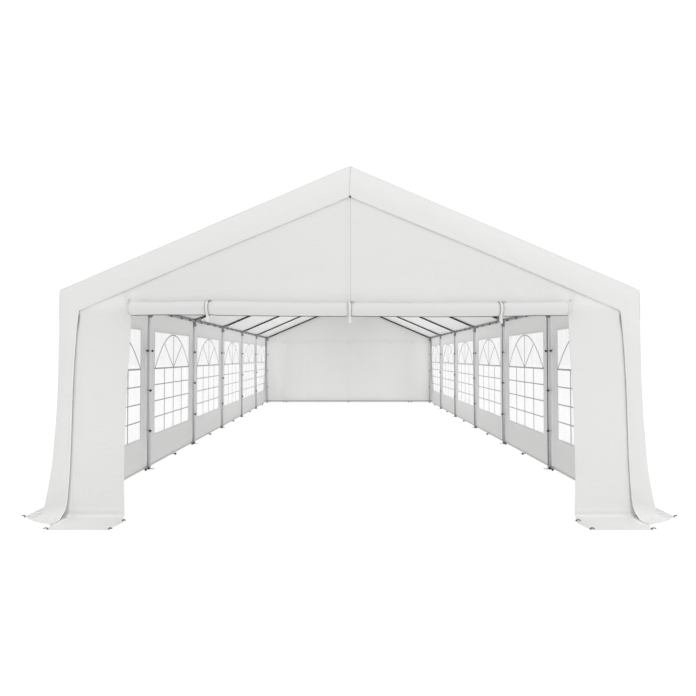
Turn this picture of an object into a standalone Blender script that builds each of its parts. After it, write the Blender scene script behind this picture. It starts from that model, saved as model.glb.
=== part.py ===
"""A frame marquee with six bays, a gabled fabric roof, window walls and a rolled-up front door.

Metres, +Z up. The origin is on the ground at the middle of the tent. The open front faces -Y,
+X is to the right of someone who looks in, and both sides are mirror images.
"""

import math

import bmesh
import bpy
from mathutils import Matrix, Vector

# Driving dimensions of the tent
BAYS = 6
BAY_LENGTH = 2.0
POST_X = 2.93
EAVE_X = 3.0
EAVE_Z = 2.33
RIDGE_Z = 3.625

# Steel frame
TUBE_RADIUS = 0.019
FITTING_RADIUS = 0.0235
SOCKET_LENGTH = 0.13
POST_SOCKET_LENGTH = 0.11
RAIL_SLEEVE_LENGTH = 0.09
FOOT_LENGTH = 0.10
FOOT_WIDTH = 0.08
FOOT_THICKNESS = 0.005
FOOT_COLLAR_HEIGHT = 0.045
PEG_HOLE_RADIUS = 0.006
PEG_HOLES = ((-0.012, -0.031), (0.045, 0.012))
TUBE_SIDES = 16
HOLE_SIDES = 8

# Fabric, thicker here than the real coated cloth
SHEET = 0.005
FILM = 0.002
BAND_DEPTH = 0.31
VALANCE_DEPTH = 0.30
SKIRT_WIDTH = 0.375

# Corner strip of the gable border, as (x, z) from under the eave to just above the ground
STRIP_TOP_X = 2.81
STRIP_OUTER = ((3.0, 1.10), (3.055, 0.60), (3.105, 0.315), (3.165, 0.0))
STRIP_INNER = ((2.925, 0.0), (2.888, 0.48), (2.857, 1.25))

# Corners of the skirts: how far the side's sweeps past the border, and the front's pegged foot
SWEEP = 0.26
SWEEP_TIP_X = 3.13
SWEEP_TIP_SHORT = 0.09
FRONT_TIP_X = 2.885
DOOR_SIDE_BOW = 0.055
DOOR_SIDE_BOW_Y = 0.14
DOOR_SIDE_TIP = 0.025

# Front doorway and its rolled-up door
DOOR_HALF_WIDTH = 2.30
DOOR_HEAD_Z = 2.09
ROLL_RADIUS = 0.078
ROLL_HALF_LENGTH = 2.23
ROLL_Z = 2.14
ROLL_SIDES = 20

# Church windows, one to each bay of a side wall
WINDOW_WIDTH = 1.51
WINDOW_LOW_Z = 0.48
WINDOW_HIGH_Z = 2.02
FILM_MARGIN = 0.03

# Distance that the end cloths hang clear of the end frames' centre line
END_CLEARANCE = 0.045

# Clearance that meshes which touch keep from each other
GAP = 0.0003

# Values that follow from the ones above
SLOPE = (RIDGE_Z - EAVE_Z) / EAVE_X
PITCH = math.atan(SLOPE)
HALF_LENGTH = BAYS * BAY_LENGTH / 2
ROOF_DROP = SHEET / math.cos(PITCH)
FRAME_DROP = (SHEET + GAP + FITTING_RADIUS) / math.cos(PITCH)
RIDGE_AXIS_Z = RIDGE_Z - FRAME_DROP
EAVE_AXIS_Z = RIDGE_AXIS_Z - SLOPE * POST_X
WALL_INNER_X = POST_X + FITTING_RADIUS + GAP
WALL_OUTER_X = WALL_INNER_X + SHEET
END_INNER_Y = HALF_LENGTH + END_CLEARANCE
END_OUTER_Y = END_INNER_Y + SHEET
BORDER_INNER_Y = END_OUTER_Y + GAP
BORDER_OUTER_Y = BORDER_INNER_Y + SHEET
WALL_FOOT_Z = SHEET + GAP
END_EDGE_X = WALL_INNER_X - GAP
SIDES = {"left": -1, "right": 1}


def clear_scene():
    for obj in list(bpy.data.objects):
        bpy.data.objects.remove(obj, do_unlink=True)


def new_collection(name):
    collection = bpy.data.collections.new(name)
    bpy.context.scene.collection.children.link(collection)
    return collection


def material(name, colour, roughness, metallic=0.0, alpha=1.0):
    made = bpy.data.materials.new(name)
    made.use_nodes = True
    shader = made.node_tree.nodes["Principled BSDF"]
    shader.inputs["Base Color"].default_value = (*colour, 1.0)
    shader.inputs["Roughness"].default_value = roughness
    shader.inputs["Metallic"].default_value = metallic
    shader.inputs["Alpha"].default_value = alpha
    return made


def place(name, data, finish, collection):
    obj = bpy.data.objects.new(name, data)
    if finish and not data.materials:
        data.materials.append(finish)
    collection.objects.link(obj)
    return obj


def cylinder_mesh(name, radius, length, sides=TUBE_SIDES):
    """A round bar that stands on the origin and runs up +Z."""
    mesh = bpy.data.meshes.new(name)
    shape = bmesh.new()
    bmesh.ops.create_cone(
        shape, cap_ends=True, segments=sides, radius1=radius, radius2=radius, depth=length
    )
    bmesh.ops.translate(shape, vec=(0, 0, length / 2), verts=shape.verts)
    shape.to_mesh(mesh)
    shape.free()
    mesh.shade_smooth()
    mesh.set_sharp_from_angle(angle=math.radians(40))
    return mesh


def aim(obj, start, end):
    """Stands a piece that runs up +Z on start and points it at end."""
    obj.location = start
    obj.rotation_mode = "QUATERNION"
    obj.rotation_quaternion = (Vector(end) - Vector(start)).to_track_quat("Z", "Y")
    return obj


def bar(name, start, end, radius, finish, collection, sides=TUBE_SIDES):
    length = (Vector(end) - Vector(start)).length
    obj = place(name, cylinder_mesh(name, radius, length, sides), finish, collection)
    return aim(obj, start, end)


def circle(centre, radius, sides=HOLE_SIDES):
    steps = [2 * math.pi * (i + 0.5) / sides for i in range(sides)]
    return [(centre[0] + radius * math.cos(a), centre[1] + radius * math.sin(a)) for a in steps]


def plate_curve(name, outlines, thickness):
    """A flat plate on the curve's own XY plane. Outlines after the first are holes in it."""
    curve = bpy.data.curves.new(name, "CURVE")
    curve.dimensions = "2D"
    curve.fill_mode = "BOTH"
    curve.extrude = thickness / 2
    for outline in outlines:
        spline = curve.splines.new("POLY")
        spline.points.add(len(outline) - 1)
        for point, (u, v) in zip(spline.points, outline):
            point.co = (u, v, 0, 1)
        spline.use_cyclic_u = True
    return curve


# Where a plate's own x, y and z axes point when it stands on each plane
STANDING = {
    "across": Matrix(((1, 0, 0), (0, 0, -1), (0, 1, 0))),
    "along": Matrix(((0, 0, 1), (1, 0, 0), (0, 1, 0))),
    "ground": Matrix.Identity(3),
}


def plate(name, outlines, plane, offset, thickness, finish, collection):
    """A plate across the tent (x, z), along it (y, z) or on the ground (x, y), centred on offset."""
    obj = place(name, plate_curve(name, outlines, thickness), finish, collection)
    obj.rotation_mode = "QUATERNION"
    obj.rotation_quaternion = STANDING[plane].to_quaternion()
    normal = {"across": 1, "along": 0, "ground": 2}[plane]
    obj.location[normal] = offset
    return obj


def rectangle(low_u, high_u, low_v, high_v):
    return [(low_u, low_v), (high_u, low_v), (high_u, high_v), (low_u, high_v)]


def mirrored(outline, s):
    return [(s * u, v) for u, v in outline]


def roof_top(x):
    return RIDGE_Z - SLOPE * abs(x)


def under_roof(x):
    return roof_top(x) - ROOF_DROP - GAP


def frame_positions():
    return [i * BAY_LENGTH - HALF_LENGTH for i in range(BAYS + 1)]


def fused_mesh(name, base, others):
    """One mesh from a base object and every helper in a collection, joined where they overlap."""
    joint = base.modifiers.new("join", "BOOLEAN")
    joint.operation = "UNION"
    joint.operand_type = "COLLECTION"
    joint.collection = others
    joint.solver = "EXACT"
    bpy.context.view_layer.update()
    graph = bpy.context.evaluated_depsgraph_get()
    mesh = bpy.data.meshes.new_from_object(base.evaluated_get(graph))
    mesh.transform(base.matrix_world)
    mesh.name = name
    return mesh


def hide_helpers(collection):
    for obj in collection.objects:
        obj.hide_render = True
        obj.display_type = "WIRE"


def solid_from_curve(obj, collection):
    """Turns a plate into a mesh whose caps are welded, so that a Boolean can take it."""
    bpy.context.view_layer.update()
    graph = bpy.context.evaluated_depsgraph_get()
    mesh = bpy.data.meshes.new_from_object(obj.evaluated_get(graph))
    shape = bmesh.new()
    shape.from_mesh(mesh)
    bmesh.ops.remove_doubles(shape, verts=shape.verts, dist=0.00001)
    shape.to_mesh(mesh)
    shape.free()
    made = bpy.data.objects.new(obj.name + "_solid", mesh)
    made.matrix_world = obj.matrix_world
    collection.objects.link(made)
    bpy.data.objects.remove(obj, do_unlink=True)
    return made


def sleeved_tube_mesh(name, length, sleeves, helpers_root):
    """A tube that stands on the origin, thicker along each span in sleeves, where a fitting grips it."""
    helpers = bpy.data.collections.new(name + "_helpers")
    helpers_root.children.link(helpers)
    tube = bar("tube", (0, 0, 0), (0, 0, length), TUBE_RADIUS, None, helpers_root)
    for low, high in sleeves:
        bar("sleeve", (0, 0, low), (0, 0, high), FITTING_RADIUS, None, helpers)
    mesh = fused_mesh(name, tube, helpers)
    hide_helpers(helpers)
    hide_helpers(helpers_root)
    return mesh


def leg_mesh(side, s, helpers_root):
    """A post near the outer edge of its foot, a flat plate with two peg holes. The foot's collar
    grips its lower end, and the eave fitting's socket its upper end."""
    helpers = bpy.data.collections.new(f"{side}_leg_helpers")
    helpers_root.children.link(helpers)
    half = FOOT_WIDTH / 2
    outline = rectangle(-FITTING_RADIUS, FOOT_LENGTH - FITTING_RADIUS, -half, half)
    holes = [circle(centre, PEG_HOLE_RADIUS) for centre in PEG_HOLES]
    outlines = [mirrored(loop, -s) for loop in (outline, *holes)]
    foot = plate("foot", outlines, "ground", FOOT_THICKNESS / 2, FOOT_THICKNESS, None, helpers)
    foot = solid_from_curve(foot, helpers_root)
    buried = FOOT_THICKNESS / 2
    top = EAVE_AXIS_Z - FITTING_RADIUS - GAP
    spans = {
        "tube": (buried, top, TUBE_RADIUS),
        "collar": (buried, FOOT_THICKNESS + FOOT_COLLAR_HEIGHT, (TUBE_RADIUS + FITTING_RADIUS) / 2),
        "socket": (EAVE_AXIS_Z - POST_SOCKET_LENGTH, top, FITTING_RADIUS),
    }
    for name, (low, high, radius) in spans.items():
        bar(name, (0, 0, low), (0, 0, high), radius, None, helpers)
    mesh = fused_mesh(f"{side}_leg", foot, helpers)
    hide_helpers(helpers)
    hide_helpers(helpers_root)
    return mesh


def build_legs(collection, helpers_root, finish):
    for side, s in SIDES.items():
        mesh = leg_mesh(side, s, helpers_root)
        for i, y in enumerate(frame_positions(), start=1):
            leg = place(f"{side}_leg_{i}", mesh, finish, collection)
            leg.location = (s * POST_X, y, 0)


def build_rafters(collection, helpers_root, finish):
    """Each rafter runs from the eave rail to the ridge rail, with a socket over each end."""
    foot = Vector((POST_X, 0, EAVE_AXIS_Z))
    head = Vector((0, 0, RIDGE_AXIS_Z))
    uphill = (head - foot).normalized()
    start = foot + uphill * (FITTING_RADIUS + GAP)
    end = head - uphill * (FITTING_RADIUS + GAP)
    length = (end - start).length
    sleeves = [(0, SOCKET_LENGTH), (length - SOCKET_LENGTH, length)]
    mesh = sleeved_tube_mesh("rafter", length, sleeves, helpers_root)
    for side, s in SIDES.items():
        for i, y in enumerate(frame_positions(), start=1):
            rafter = place(f"{side}_rafter_{i}", mesh, finish, collection)
            aim(rafter, (s * start.x, y, start.z), (s * end.x, y, end.z))


def build_rails(collection, helpers_root, finish):
    """The eave rails and the ridge rail, each gripped by a fitting at every frame."""
    reach = END_INNER_Y - GAP
    middles = [y + reach for y in frame_positions()]
    half = RAIL_SLEEVE_LENGTH
    sleeves = [(max(m - half, 0), min(m + half, 2 * reach)) for m in middles]
    mesh = sleeved_tube_mesh("rail", 2 * reach, sleeves, helpers_root)
    rails = {
        "left_eave_rail": (-POST_X, EAVE_AXIS_Z),
        "right_eave_rail": (POST_X, EAVE_AXIS_Z),
        "ridge_rail": (0, RIDGE_AXIS_Z),
    }
    for name, (x, z) in rails.items():
        rail = place(name, mesh, finish, collection)
        aim(rail, (x, -reach, z), (x, reach, z))


def build_roof(collection, finish):
    """Two slopes that meet at the ridge seam, with a valance under each eave edge."""
    seam = GAP / 2
    length = 2 * BORDER_OUTER_Y
    for side, s in SIDES.items():
        outline = [
            (seam, roof_top(seam)),
            (EAVE_X, EAVE_Z),
            (EAVE_X, EAVE_Z - ROOF_DROP),
            (seam, roof_top(seam) - ROOF_DROP),
        ]
        plate(f"roof_{side}", [mirrored(outline, s)], "across", 0, length, finish, collection)
        high = under_roof(EAVE_X)
        strip = rectangle(-END_OUTER_Y, END_OUTER_Y, EAVE_Z - VALANCE_DEPTH, high)
        centre = s * (EAVE_X - SHEET / 2)
        plate(f"valance_{side}", [strip], "along", centre, SHEET, finish, collection)


def border_outline():
    """One half of the gable border: a band under the roof edge that turns down at the corner
    into a strip, which flares outwards below mid height."""
    seam = GAP / 2
    outer = [(x, max(z, WALL_FOOT_Z)) for x, z in STRIP_OUTER]
    inner = [(x, max(z, WALL_FOOT_Z)) for x, z in STRIP_INNER]
    return [
        (seam, under_roof(seam)),
        (EAVE_X, under_roof(EAVE_X)),
        *outer,
        *inner,
        (STRIP_TOP_X, roof_top(STRIP_TOP_X) - BAND_DEPTH),
        (seam, roof_top(0) - BAND_DEPTH),
    ]


def build_borders(collection, finish):
    centre = (BORDER_INNER_Y + BORDER_OUTER_Y) / 2
    for end, y in (("front", -centre), ("back", centre)):
        for side, s in SIDES.items():
            outline = mirrored(border_outline(), s)
            plate(f"{end}_border_{side}", [outline], "across", y, SHEET, finish, collection)


def window_outlines():
    half = WINDOW_WIDTH / 2
    middles = [y + BAY_LENGTH / 2 for y in frame_positions()[:-1]]
    return [rectangle(m - half, m + half, WINDOW_LOW_Z, WINDOW_HIGH_Z) for m in middles]


def build_side_walls(collection, wall_finish, film_finish):
    """Each side is one long sheet with six windows cut in it and clear film behind them."""
    top = under_roof(WALL_OUTER_X)
    sheet = rectangle(-END_OUTER_Y, END_OUTER_Y, WALL_FOOT_Z, top)
    film_reach = HALF_LENGTH - (BAY_LENGTH - WINDOW_WIDTH) / 2 + FILM_MARGIN
    low, high = WINDOW_LOW_Z - FILM_MARGIN, WINDOW_HIGH_Z + FILM_MARGIN
    film = rectangle(-film_reach, film_reach, low, high)
    for side, s in SIDES.items():
        centre = s * (WALL_INNER_X + WALL_OUTER_X) / 2
        outlines = [sheet, *window_outlines()]
        plate(f"{side}_wall", outlines, "along", centre, SHEET, wall_finish, collection)
        film_x = s * (WALL_OUTER_X + GAP + FILM / 2)
        plate(f"{side}_window_film", [film], "along", film_x, FILM, film_finish, collection)


def build_front(collection, finish):
    """A gable sheet over the doorway and a narrow panel on each side of it."""
    centre = -(END_INNER_Y + END_OUTER_Y) / 2
    gable = [
        (-END_EDGE_X, DOOR_HEAD_Z),
        (END_EDGE_X, DOOR_HEAD_Z),
        (END_EDGE_X, under_roof(END_EDGE_X)),
        (0, under_roof(0)),
        (-END_EDGE_X, under_roof(END_EDGE_X)),
    ]
    plate("front_gable", [gable], "across", centre, SHEET, finish, collection)
    for side, s in SIDES.items():
        panel = rectangle(DOOR_HALF_WIDTH, END_EDGE_X, WALL_FOOT_Z, DOOR_HEAD_Z - GAP)
        name = f"front_panel_{side}"
        plate(name, [mirrored(panel, s)], "across", centre, SHEET, finish, collection)


def build_back(collection, finish):
    centre = (END_INNER_Y + END_OUTER_Y) / 2
    outline = [
        (-END_EDGE_X, WALL_FOOT_Z),
        (END_EDGE_X, WALL_FOOT_Z),
        (END_EDGE_X, under_roof(END_EDGE_X)),
        (0, under_roof(0)),
        (-END_EDGE_X, under_roof(END_EDGE_X)),
    ]
    plate("back_wall", [outline], "across", centre, SHEET, finish, collection)


def build_skirts(collection, finish):
    """The foot of every wall, turned outwards on the ground to be pegged down."""
    tip_x = WALL_INNER_X + SKIRT_WIDTH
    tip_y = END_INNER_Y + SKIRT_WIDTH
    sweep_y = BORDER_OUTER_Y + SWEEP
    side_outline = [
        (WALL_INNER_X, -sweep_y),
        (SWEEP_TIP_X, SWEEP_TIP_SHORT - sweep_y),
        (tip_x, -BORDER_OUTER_Y),
        (tip_x, BORDER_OUTER_Y),
        (SWEEP_TIP_X, sweep_y - SWEEP_TIP_SHORT),
        (WALL_INNER_X, sweep_y),
    ]
    front_outline = [
        (DOOR_HALF_WIDTH, -END_INNER_Y),
        (DOOR_HALF_WIDTH - DOOR_SIDE_BOW, -END_INNER_Y - DOOR_SIDE_BOW_Y),
        (DOOR_HALF_WIDTH - DOOR_SIDE_TIP, -tip_y),
        (FRONT_TIP_X, -tip_y),
        (END_EDGE_X, -END_INNER_Y),
    ]
    for side, s in SIDES.items():
        outlines = [mirrored(side_outline, s)]
        plate(f"{side}_skirt", outlines, "ground", SHEET / 2, SHEET, finish, collection)
        outlines = [mirrored(front_outline, s)]
        plate(f"front_skirt_{side}", outlines, "ground", SHEET / 2, SHEET, finish, collection)
    back_outline = rectangle(-END_EDGE_X, END_EDGE_X, END_INNER_Y, tip_y)
    plate("back_skirt", [back_outline], "ground", SHEET / 2, SHEET, finish, collection)


def build_door_roll(collection, finish):
    """The front door, rolled up over the doorway."""
    y = -(END_OUTER_Y + GAP + ROLL_RADIUS)
    ends = [(s * ROLL_HALF_LENGTH, y, ROLL_Z) for s in SIDES.values()]
    bar("door_roll", *ends, ROLL_RADIUS, finish, collection, ROLL_SIDES)


def main():
    clear_scene()
    tent = new_collection("marquee_tent")
    helpers = new_collection("helpers")
    steel = material("frame_steel", (0.16, 0.165, 0.17), 0.45, metallic=0.6)
    cover = material("roof_cloth", (0.78, 0.78, 0.77), 0.55)
    wall = material("wall_cloth", (0.75, 0.75, 0.74), 0.6)
    film = material("window_film", (0.9, 0.92, 0.93), 0.15, alpha=0.35)

    build_legs(tent, helpers, steel)
    build_rafters(tent, helpers, steel)
    build_rails(tent, helpers, steel)
    build_roof(tent, cover)
    build_borders(tent, cover)
    build_side_walls(tent, wall, film)
    build_front(tent, wall)
    build_back(tent, wall)
    build_skirts(tent, wall)
    build_door_roll(tent, wall)


main()
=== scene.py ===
# The marquee tent dressed for its portrait: cloth, windows, frame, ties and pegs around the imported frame
import math

import bmesh
import bpy
import numpy as np
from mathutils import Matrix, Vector, noise


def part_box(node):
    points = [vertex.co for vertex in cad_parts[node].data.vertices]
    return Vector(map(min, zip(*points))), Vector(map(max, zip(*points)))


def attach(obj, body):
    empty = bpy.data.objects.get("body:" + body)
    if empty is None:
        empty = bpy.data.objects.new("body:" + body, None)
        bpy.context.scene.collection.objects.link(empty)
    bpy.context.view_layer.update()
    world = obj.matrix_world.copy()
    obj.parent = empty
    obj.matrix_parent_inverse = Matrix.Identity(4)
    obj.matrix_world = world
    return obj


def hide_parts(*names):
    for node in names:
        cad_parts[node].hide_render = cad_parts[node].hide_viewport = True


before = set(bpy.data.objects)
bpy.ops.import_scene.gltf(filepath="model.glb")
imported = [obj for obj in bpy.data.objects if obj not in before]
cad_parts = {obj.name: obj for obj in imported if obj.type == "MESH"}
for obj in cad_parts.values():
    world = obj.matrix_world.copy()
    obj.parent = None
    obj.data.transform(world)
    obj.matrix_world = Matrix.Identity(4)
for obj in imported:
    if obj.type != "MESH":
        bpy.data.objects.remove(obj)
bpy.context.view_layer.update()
print("frame loaded:", len(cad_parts), "nodes")

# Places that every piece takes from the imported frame
sides = {"left": -1, "right": 1}
ends = {"front": -1, "back": 1}
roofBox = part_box("roof_right")
eaveX, ridgeZ = roofBox[1].x, roofBox[1].z
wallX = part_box("right_wall")[0].x
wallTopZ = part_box("right_wall")[1].z
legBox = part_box("right_leg_1")
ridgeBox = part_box("ridge_rail")
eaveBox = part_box("right_eave_rail")
postX = (eaveBox[0].x + eaveBox[1].x) / 2
eaveAxisZ = (eaveBox[0].z + eaveBox[1].z) / 2
ridgeAxisZ = (ridgeBox[0].z + ridgeBox[1].z) / 2
railReach = eaveBox[1].y
slope = (ridgeAxisZ - eaveAxisZ) / postX
pitch = math.atan(slope)
eaveZ = ridgeZ - slope * eaveX
frameYs = [(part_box(f"left_leg_{i}")[0].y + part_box(f"left_leg_{i}")[1].y) / 2 for i in range(1, 8)]
bayLength = frameYs[1] - frameYs[0]
bayMiddles = [y + bayLength / 2 for y in frameYs[:-1]]
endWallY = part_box("back_wall")[0].y
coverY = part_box("back_border_left")[1].y
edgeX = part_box("front_panel_right")[1].x
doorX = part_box("front_panel_right")[0].x
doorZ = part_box("front_gable")[0].z
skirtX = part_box("right_skirt")[1].x
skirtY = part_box("back_skirt")[1].y
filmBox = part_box("right_window_film")
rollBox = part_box("door_roll")
tubeRadius = 0.019


def roofZ(x):
    return ridgeZ - slope * abs(x)


# Shader and geometry trees share this way of adding nodes
class Val:
    # A node's output that takes part in plain arithmetic
    def __init__(self, graph, socket):
        self.graph, self.socket = graph, socket

    def combine(self, operation, *values):
        return self.graph.node("ShaderNodeMath", {"operation": operation}, dict(enumerate(values)))

    def apply(self, operation, *others):
        return self.combine(operation, self, *others)

    def __add__(self, other):
        return self.apply("ADD", other)

    def __radd__(self, other):
        return self.combine("ADD", other, self)

    def __sub__(self, other):
        return self.apply("SUBTRACT", other)

    def __rsub__(self, other):
        return self.combine("SUBTRACT", other, self)

    def __mul__(self, other):
        return self.apply("MULTIPLY", other)

    def __rmul__(self, other):
        return self.combine("MULTIPLY", other, self)

    def __gt__(self, other):
        return self.apply("GREATER_THAN", other)


class Graph:
    def __init__(self, tree):
        self.tree = tree

    def node(self, kind, settings=None, inputs=None, out=0):
        made = self.tree.nodes.new(kind)
        for key, value in (settings or {}).items():
            if key == "stops":
                self.setStops(made.color_ramp, value)
            else:
                setattr(made, key, value)
        for key, value in (inputs or {}).items():
            self.feed(made.inputs[key], value)
        return Val(self, made.outputs[out] if made.outputs else None)

    def feed(self, socket, value):
        if isinstance(value, Val):
            self.tree.links.new(value.socket, socket)
        else:
            socket.default_value = value

    def setStops(self, ramp, stops):
        while len(ramp.elements) > 1:
            ramp.elements.remove(ramp.elements[-1])
        for i, (position, level) in enumerate(stops):
            stop = ramp.elements[0] if i == 0 else ramp.elements.new(position)
            stop.position = position
            stop.color = (level, level, level, 1)


class Finish(Graph):
    # A material on one Principled shader
    def __init__(self, name, **values):
        self.material = bpy.data.materials.new(name)
        self.material.use_nodes = True
        super().__init__(self.material.node_tree)
        self.shader = self.tree.nodes["Principled BSDF"]
        for key, value in values.items():
            self.shader.inputs[key.replace("_", " ")].default_value = value

    def drive(self, name, value):
        self.feed(self.shader.inputs[name], value)

    def place(self):
        return self.node("ShaderNodeTexCoord", out="Object")

    def ramp(self, value, *stops):
        return self.node("ShaderNodeValToRGB", {"stops": stops}, {0: value})

    def stretched(self, where, scale):
        return self.node("ShaderNodeMapping", None, {"Vector": where, "Scale": scale})

    def blend(self, factor, first, second, clamp=True):
        settings = {"data_type": "RGBA", "clamp_factor": clamp}
        colours = [c if isinstance(c, Val) else (*c, 1) for c in (first, second)]
        return self.node("ShaderNodeMix", settings, {0: factor, 6: colours[0], 7: colours[1]}, out=2)

    def grain(self, where, scale, detail=3.0, roughness=0.55):
        inputs = {"Vector": where, "Scale": scale, "Detail": detail, "Roughness": roughness}
        return self.node("ShaderNodeTexNoise", {"noise_dimensions": "3D"}, inputs)

    def relief(self, layers):
        # Stacks (height, strength, distance) bumps into one normal
        normal = None
        for height, strength, distance in layers:
            inputs = {"Height": height, "Strength": strength, "Distance": distance}
            if normal:
                inputs["Normal"] = normal
            normal = self.node("ShaderNodeBump", None, inputs)
        self.drive("Normal", normal)


# Finishes
cloth = {
    "roofWhite": (0.735, 0.735, 0.728),
    "wallWhite": (0.704, 0.705, 0.698),
    # a shaded copy of the wall white: painted shade for the side and back walls seen from inside
    "shadedSideWhite": (0.700, 0.701, 0.695),
    "seamAndPaintedShade": 0.50,  # needle line of a seam, and painted shade where a mark is above zero
    "shade": 0.965,  # how far the mottled patches fall from the main white
    "tapePitch": 0.0042,  # woven tapes under the coating, in metres
    "creasePitch": 0.61,  # folds left from the pack
    "roughness": 0.56,
    # noises: scale, detail and, where it isn't the usual one, roughness
    "mottle": (1.7, 4.0),
    "speckle": (90.0, 2.0),
    "slack": (3.2, 5.0, 0.6),
    "rumple": (11.0, 3.0, 0.5),
    "pinch": (5.0, 5.0, 22.0),  # scale of the short lying pinches on each axis
}


def shaded(colour, share):
    return tuple(c * share for c in colour)


def clothFinish(name, white, inward=False):
    f = Finish(name, Roughness=cloth["roughness"], IOR=1.46, Specular_IOR_Level=0.35)
    place = f.place()
    u = f.node("ShaderNodeSeparateXYZ", None, {0: f.node("ShaderNodeUVMap", {"uv_map": "UVMap"})})
    flat = (u, Val(f, u.socket.node.outputs[1]))
    tapes = [(w * (2 * math.pi / cloth["tapePitch"])).apply("SINE") for w in flat]
    weave = tapes[0] * tapes[1] * 0.5 + 0.5
    mottle = f.grain(place, *cloth["mottle"])
    speckle = f.grain(place, *cloth["speckle"])
    seam = f.node("ShaderNodeAttribute", {"attribute_name": "seam"}, out="Fac")
    if inward:
        # painted light, a mark below zero, shows only on the faces that look into the tent
        facing = {0: f.node("ShaderNodeTexCoord", out="Normal"), 1: place}
        outside = f.node("ShaderNodeVectorMath", {"operation": "DOT_PRODUCT"}, facing, out="Value") > 0.0
        seam = seam.apply("MAXIMUM", 0.0) + seam.apply("MINIMUM", 0.0) * (1.0 - outside)
    plain = f.blend(mottle * 0.8 + speckle * 0.2, shaded(white, cloth["shade"]), white)
    # a mark above zero is a needle line or painted shade, one below zero is painted light, so the factor
    # isn't clamped
    f.drive("Base Color", f.blend(seam, plain, shaded(white, cloth["seamAndPaintedShade"]), clamp=False))
    f.drive("Roughness", mottle * 0.12 + speckle * 0.06 + cloth["roughness"] - 0.1)
    folds = [(w * (2 * math.pi / cloth["creasePitch"])).apply("SINE").apply("ABSOLUTE") for w in flat]
    creases = [f.ramp(fold, (0.0, 0.0), (0.05, 1.0)) for fold in folds]
    slack = f.grain(place, *cloth["slack"])
    rumple = f.grain(place, *cloth["rumple"])
    lying = f.grain(f.stretched(place, cloth["pinch"]), 1.0, 1.0)
    pinches = f.ramp(lying, (0.63, 0.0), (0.69, 1.0), (0.75, 0.0))
    f.relief([
        (slack, 0.42, 0.02),
        (rumple, 0.14, 0.006),
        (pinches, 0.28, 0.004),
        (creases[0] * creases[1], 0.10, 0.002),
        (weave, 0.10, 0.0008),
    ])
    return f.material


steel = {
    "roughness": 0.46,
    "worn": 1.5,  # how much lighter scuffs are
    "shadeLine": 0.07,  # how dark the painted shade along a post's left side is
}


def steelFinish(name, grey):
    f = Finish(name, Metallic=0.2, Specular_IOR_Level=0.25)
    scuff = f.grain(f.place(), 38.0, 6.0, 0.7)
    colour = (grey * 0.98, grey, grey * 1.03)
    scuffed = f.blend(f.ramp(scuff, (0.60, 0.0), (0.74, 1.0)) * 0.5, colour, shaded(colour, steel["worn"]))
    # the seam attribute: painted shade along each post's left side, and the marks of plate and collar
    shadeLine = f.node("ShaderNodeAttribute", {"attribute_name": "seam"}, out="Fac")
    f.drive("Base Color", f.blend(shadeLine, scuffed, shaded(colour, steel["shadeLine"]), clamp=False))
    f.drive("Roughness", scuff * 0.25 + steel["roughness"] - 0.12)
    f.relief([(f.grain(f.place(), 900.0, 2.0), 0.08, 0.0004)])
    return f.material


def plainFinish(name, colour, roughness, metallic, scale, bump):
    f = Finish(name, Metallic=metallic)
    fleck = f.grain(f.place(), scale, 4.0)
    f.drive("Base Color", f.blend(fleck, shaded(colour, 0.8), colour))
    f.drive("Roughness", fleck * 0.2 + roughness - 0.1)
    f.relief([(fleck, bump, 0.001)])
    return f.material


def filmFinish():
    f = Finish("clearFilm", Base_Color=(0.60, 0.61, 0.62, 1), Roughness=0.12, IOR=1.5)
    haze = f.grain(f.place(), 5.0, 3.0)
    streak = f.grain(f.stretched(f.place(), (1.0, 1.0, 0.06)), 7.0, 2.0)
    f.drive("Alpha", haze * 0.04 + streak * 0.08 + 0.05)
    f.relief([(haze, 0.12, 0.01)])
    return f.material


roofCloth = clothFinish("roofCloth", cloth["roofWhite"])
wallCloth = clothFinish("wallCloth", cloth["wallWhite"])
# side and back walls: a shaded copy of the wall cloth, with painted light on its inner faces
sideCloth = clothFinish("sideCloth", cloth["shadedSideWhite"], inward=True)
# one steel for the whole frame in three greys for how light falls: rafters shaded near black, rails and
# fittings lit mid grey, posts lit pale; the greys are painted light and shade
darkSteel = steelFinish("darkSteel", 0.016)
railSteel = steelFinish("railSteel", 0.28)
postSteel = steelFinish("postSteel", 0.76)
clearFilm = filmFinish()
barVinyl = plainFinish("barVinyl", (0.39, 0.39, 0.39), 0.45, 0.0, 60.0, 0.05)
tieWebbing = plainFinish("tieWebbing", (0.78, 0.78, 0.77), 0.7, 0.0, 700.0, 0.4)
blackKnob = plainFinish("blackKnob", (0.012, 0.012, 0.013), 0.35, 0.0, 300.0, 0.05)
elasticCord = plainFinish("elasticCord", (0.03, 0.03, 0.032), 0.75, 0.0, 900.0, 0.5)
tieCord = plainFinish("tieCord", (0.16, 0.16, 0.16), 0.75, 0.0, 900.0, 0.5)
pegSteel = plainFinish("pegSteel", (0.030, 0.030, 0.032), 0.5, 0.15, 200.0, 0.15)
eyeletMetal = plainFinish("eyeletMetal", (0.55, 0.55, 0.53), 0.3, 1.0, 250.0, 0.05)
print("finishes made")


# Meshes
square = ((-1, -1), (1, -1), (1, 1), (-1, 1))


def linked(name, data):
    made = bpy.data.objects.new(name, data)
    bpy.context.scene.collection.objects.link(made)
    return made


def newPiece(name, mesh, finish):
    mesh.materials.clear()
    mesh.materials.append(finish)
    return linked(name, mesh)


def settled(piece):
    # A plain mesh of a piece with its modifiers worked out
    bpy.context.view_layer.update()
    return bpy.data.meshes.new_from_object(piece.evaluated_get(bpy.context.evaluated_depsgraph_get()))


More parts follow.
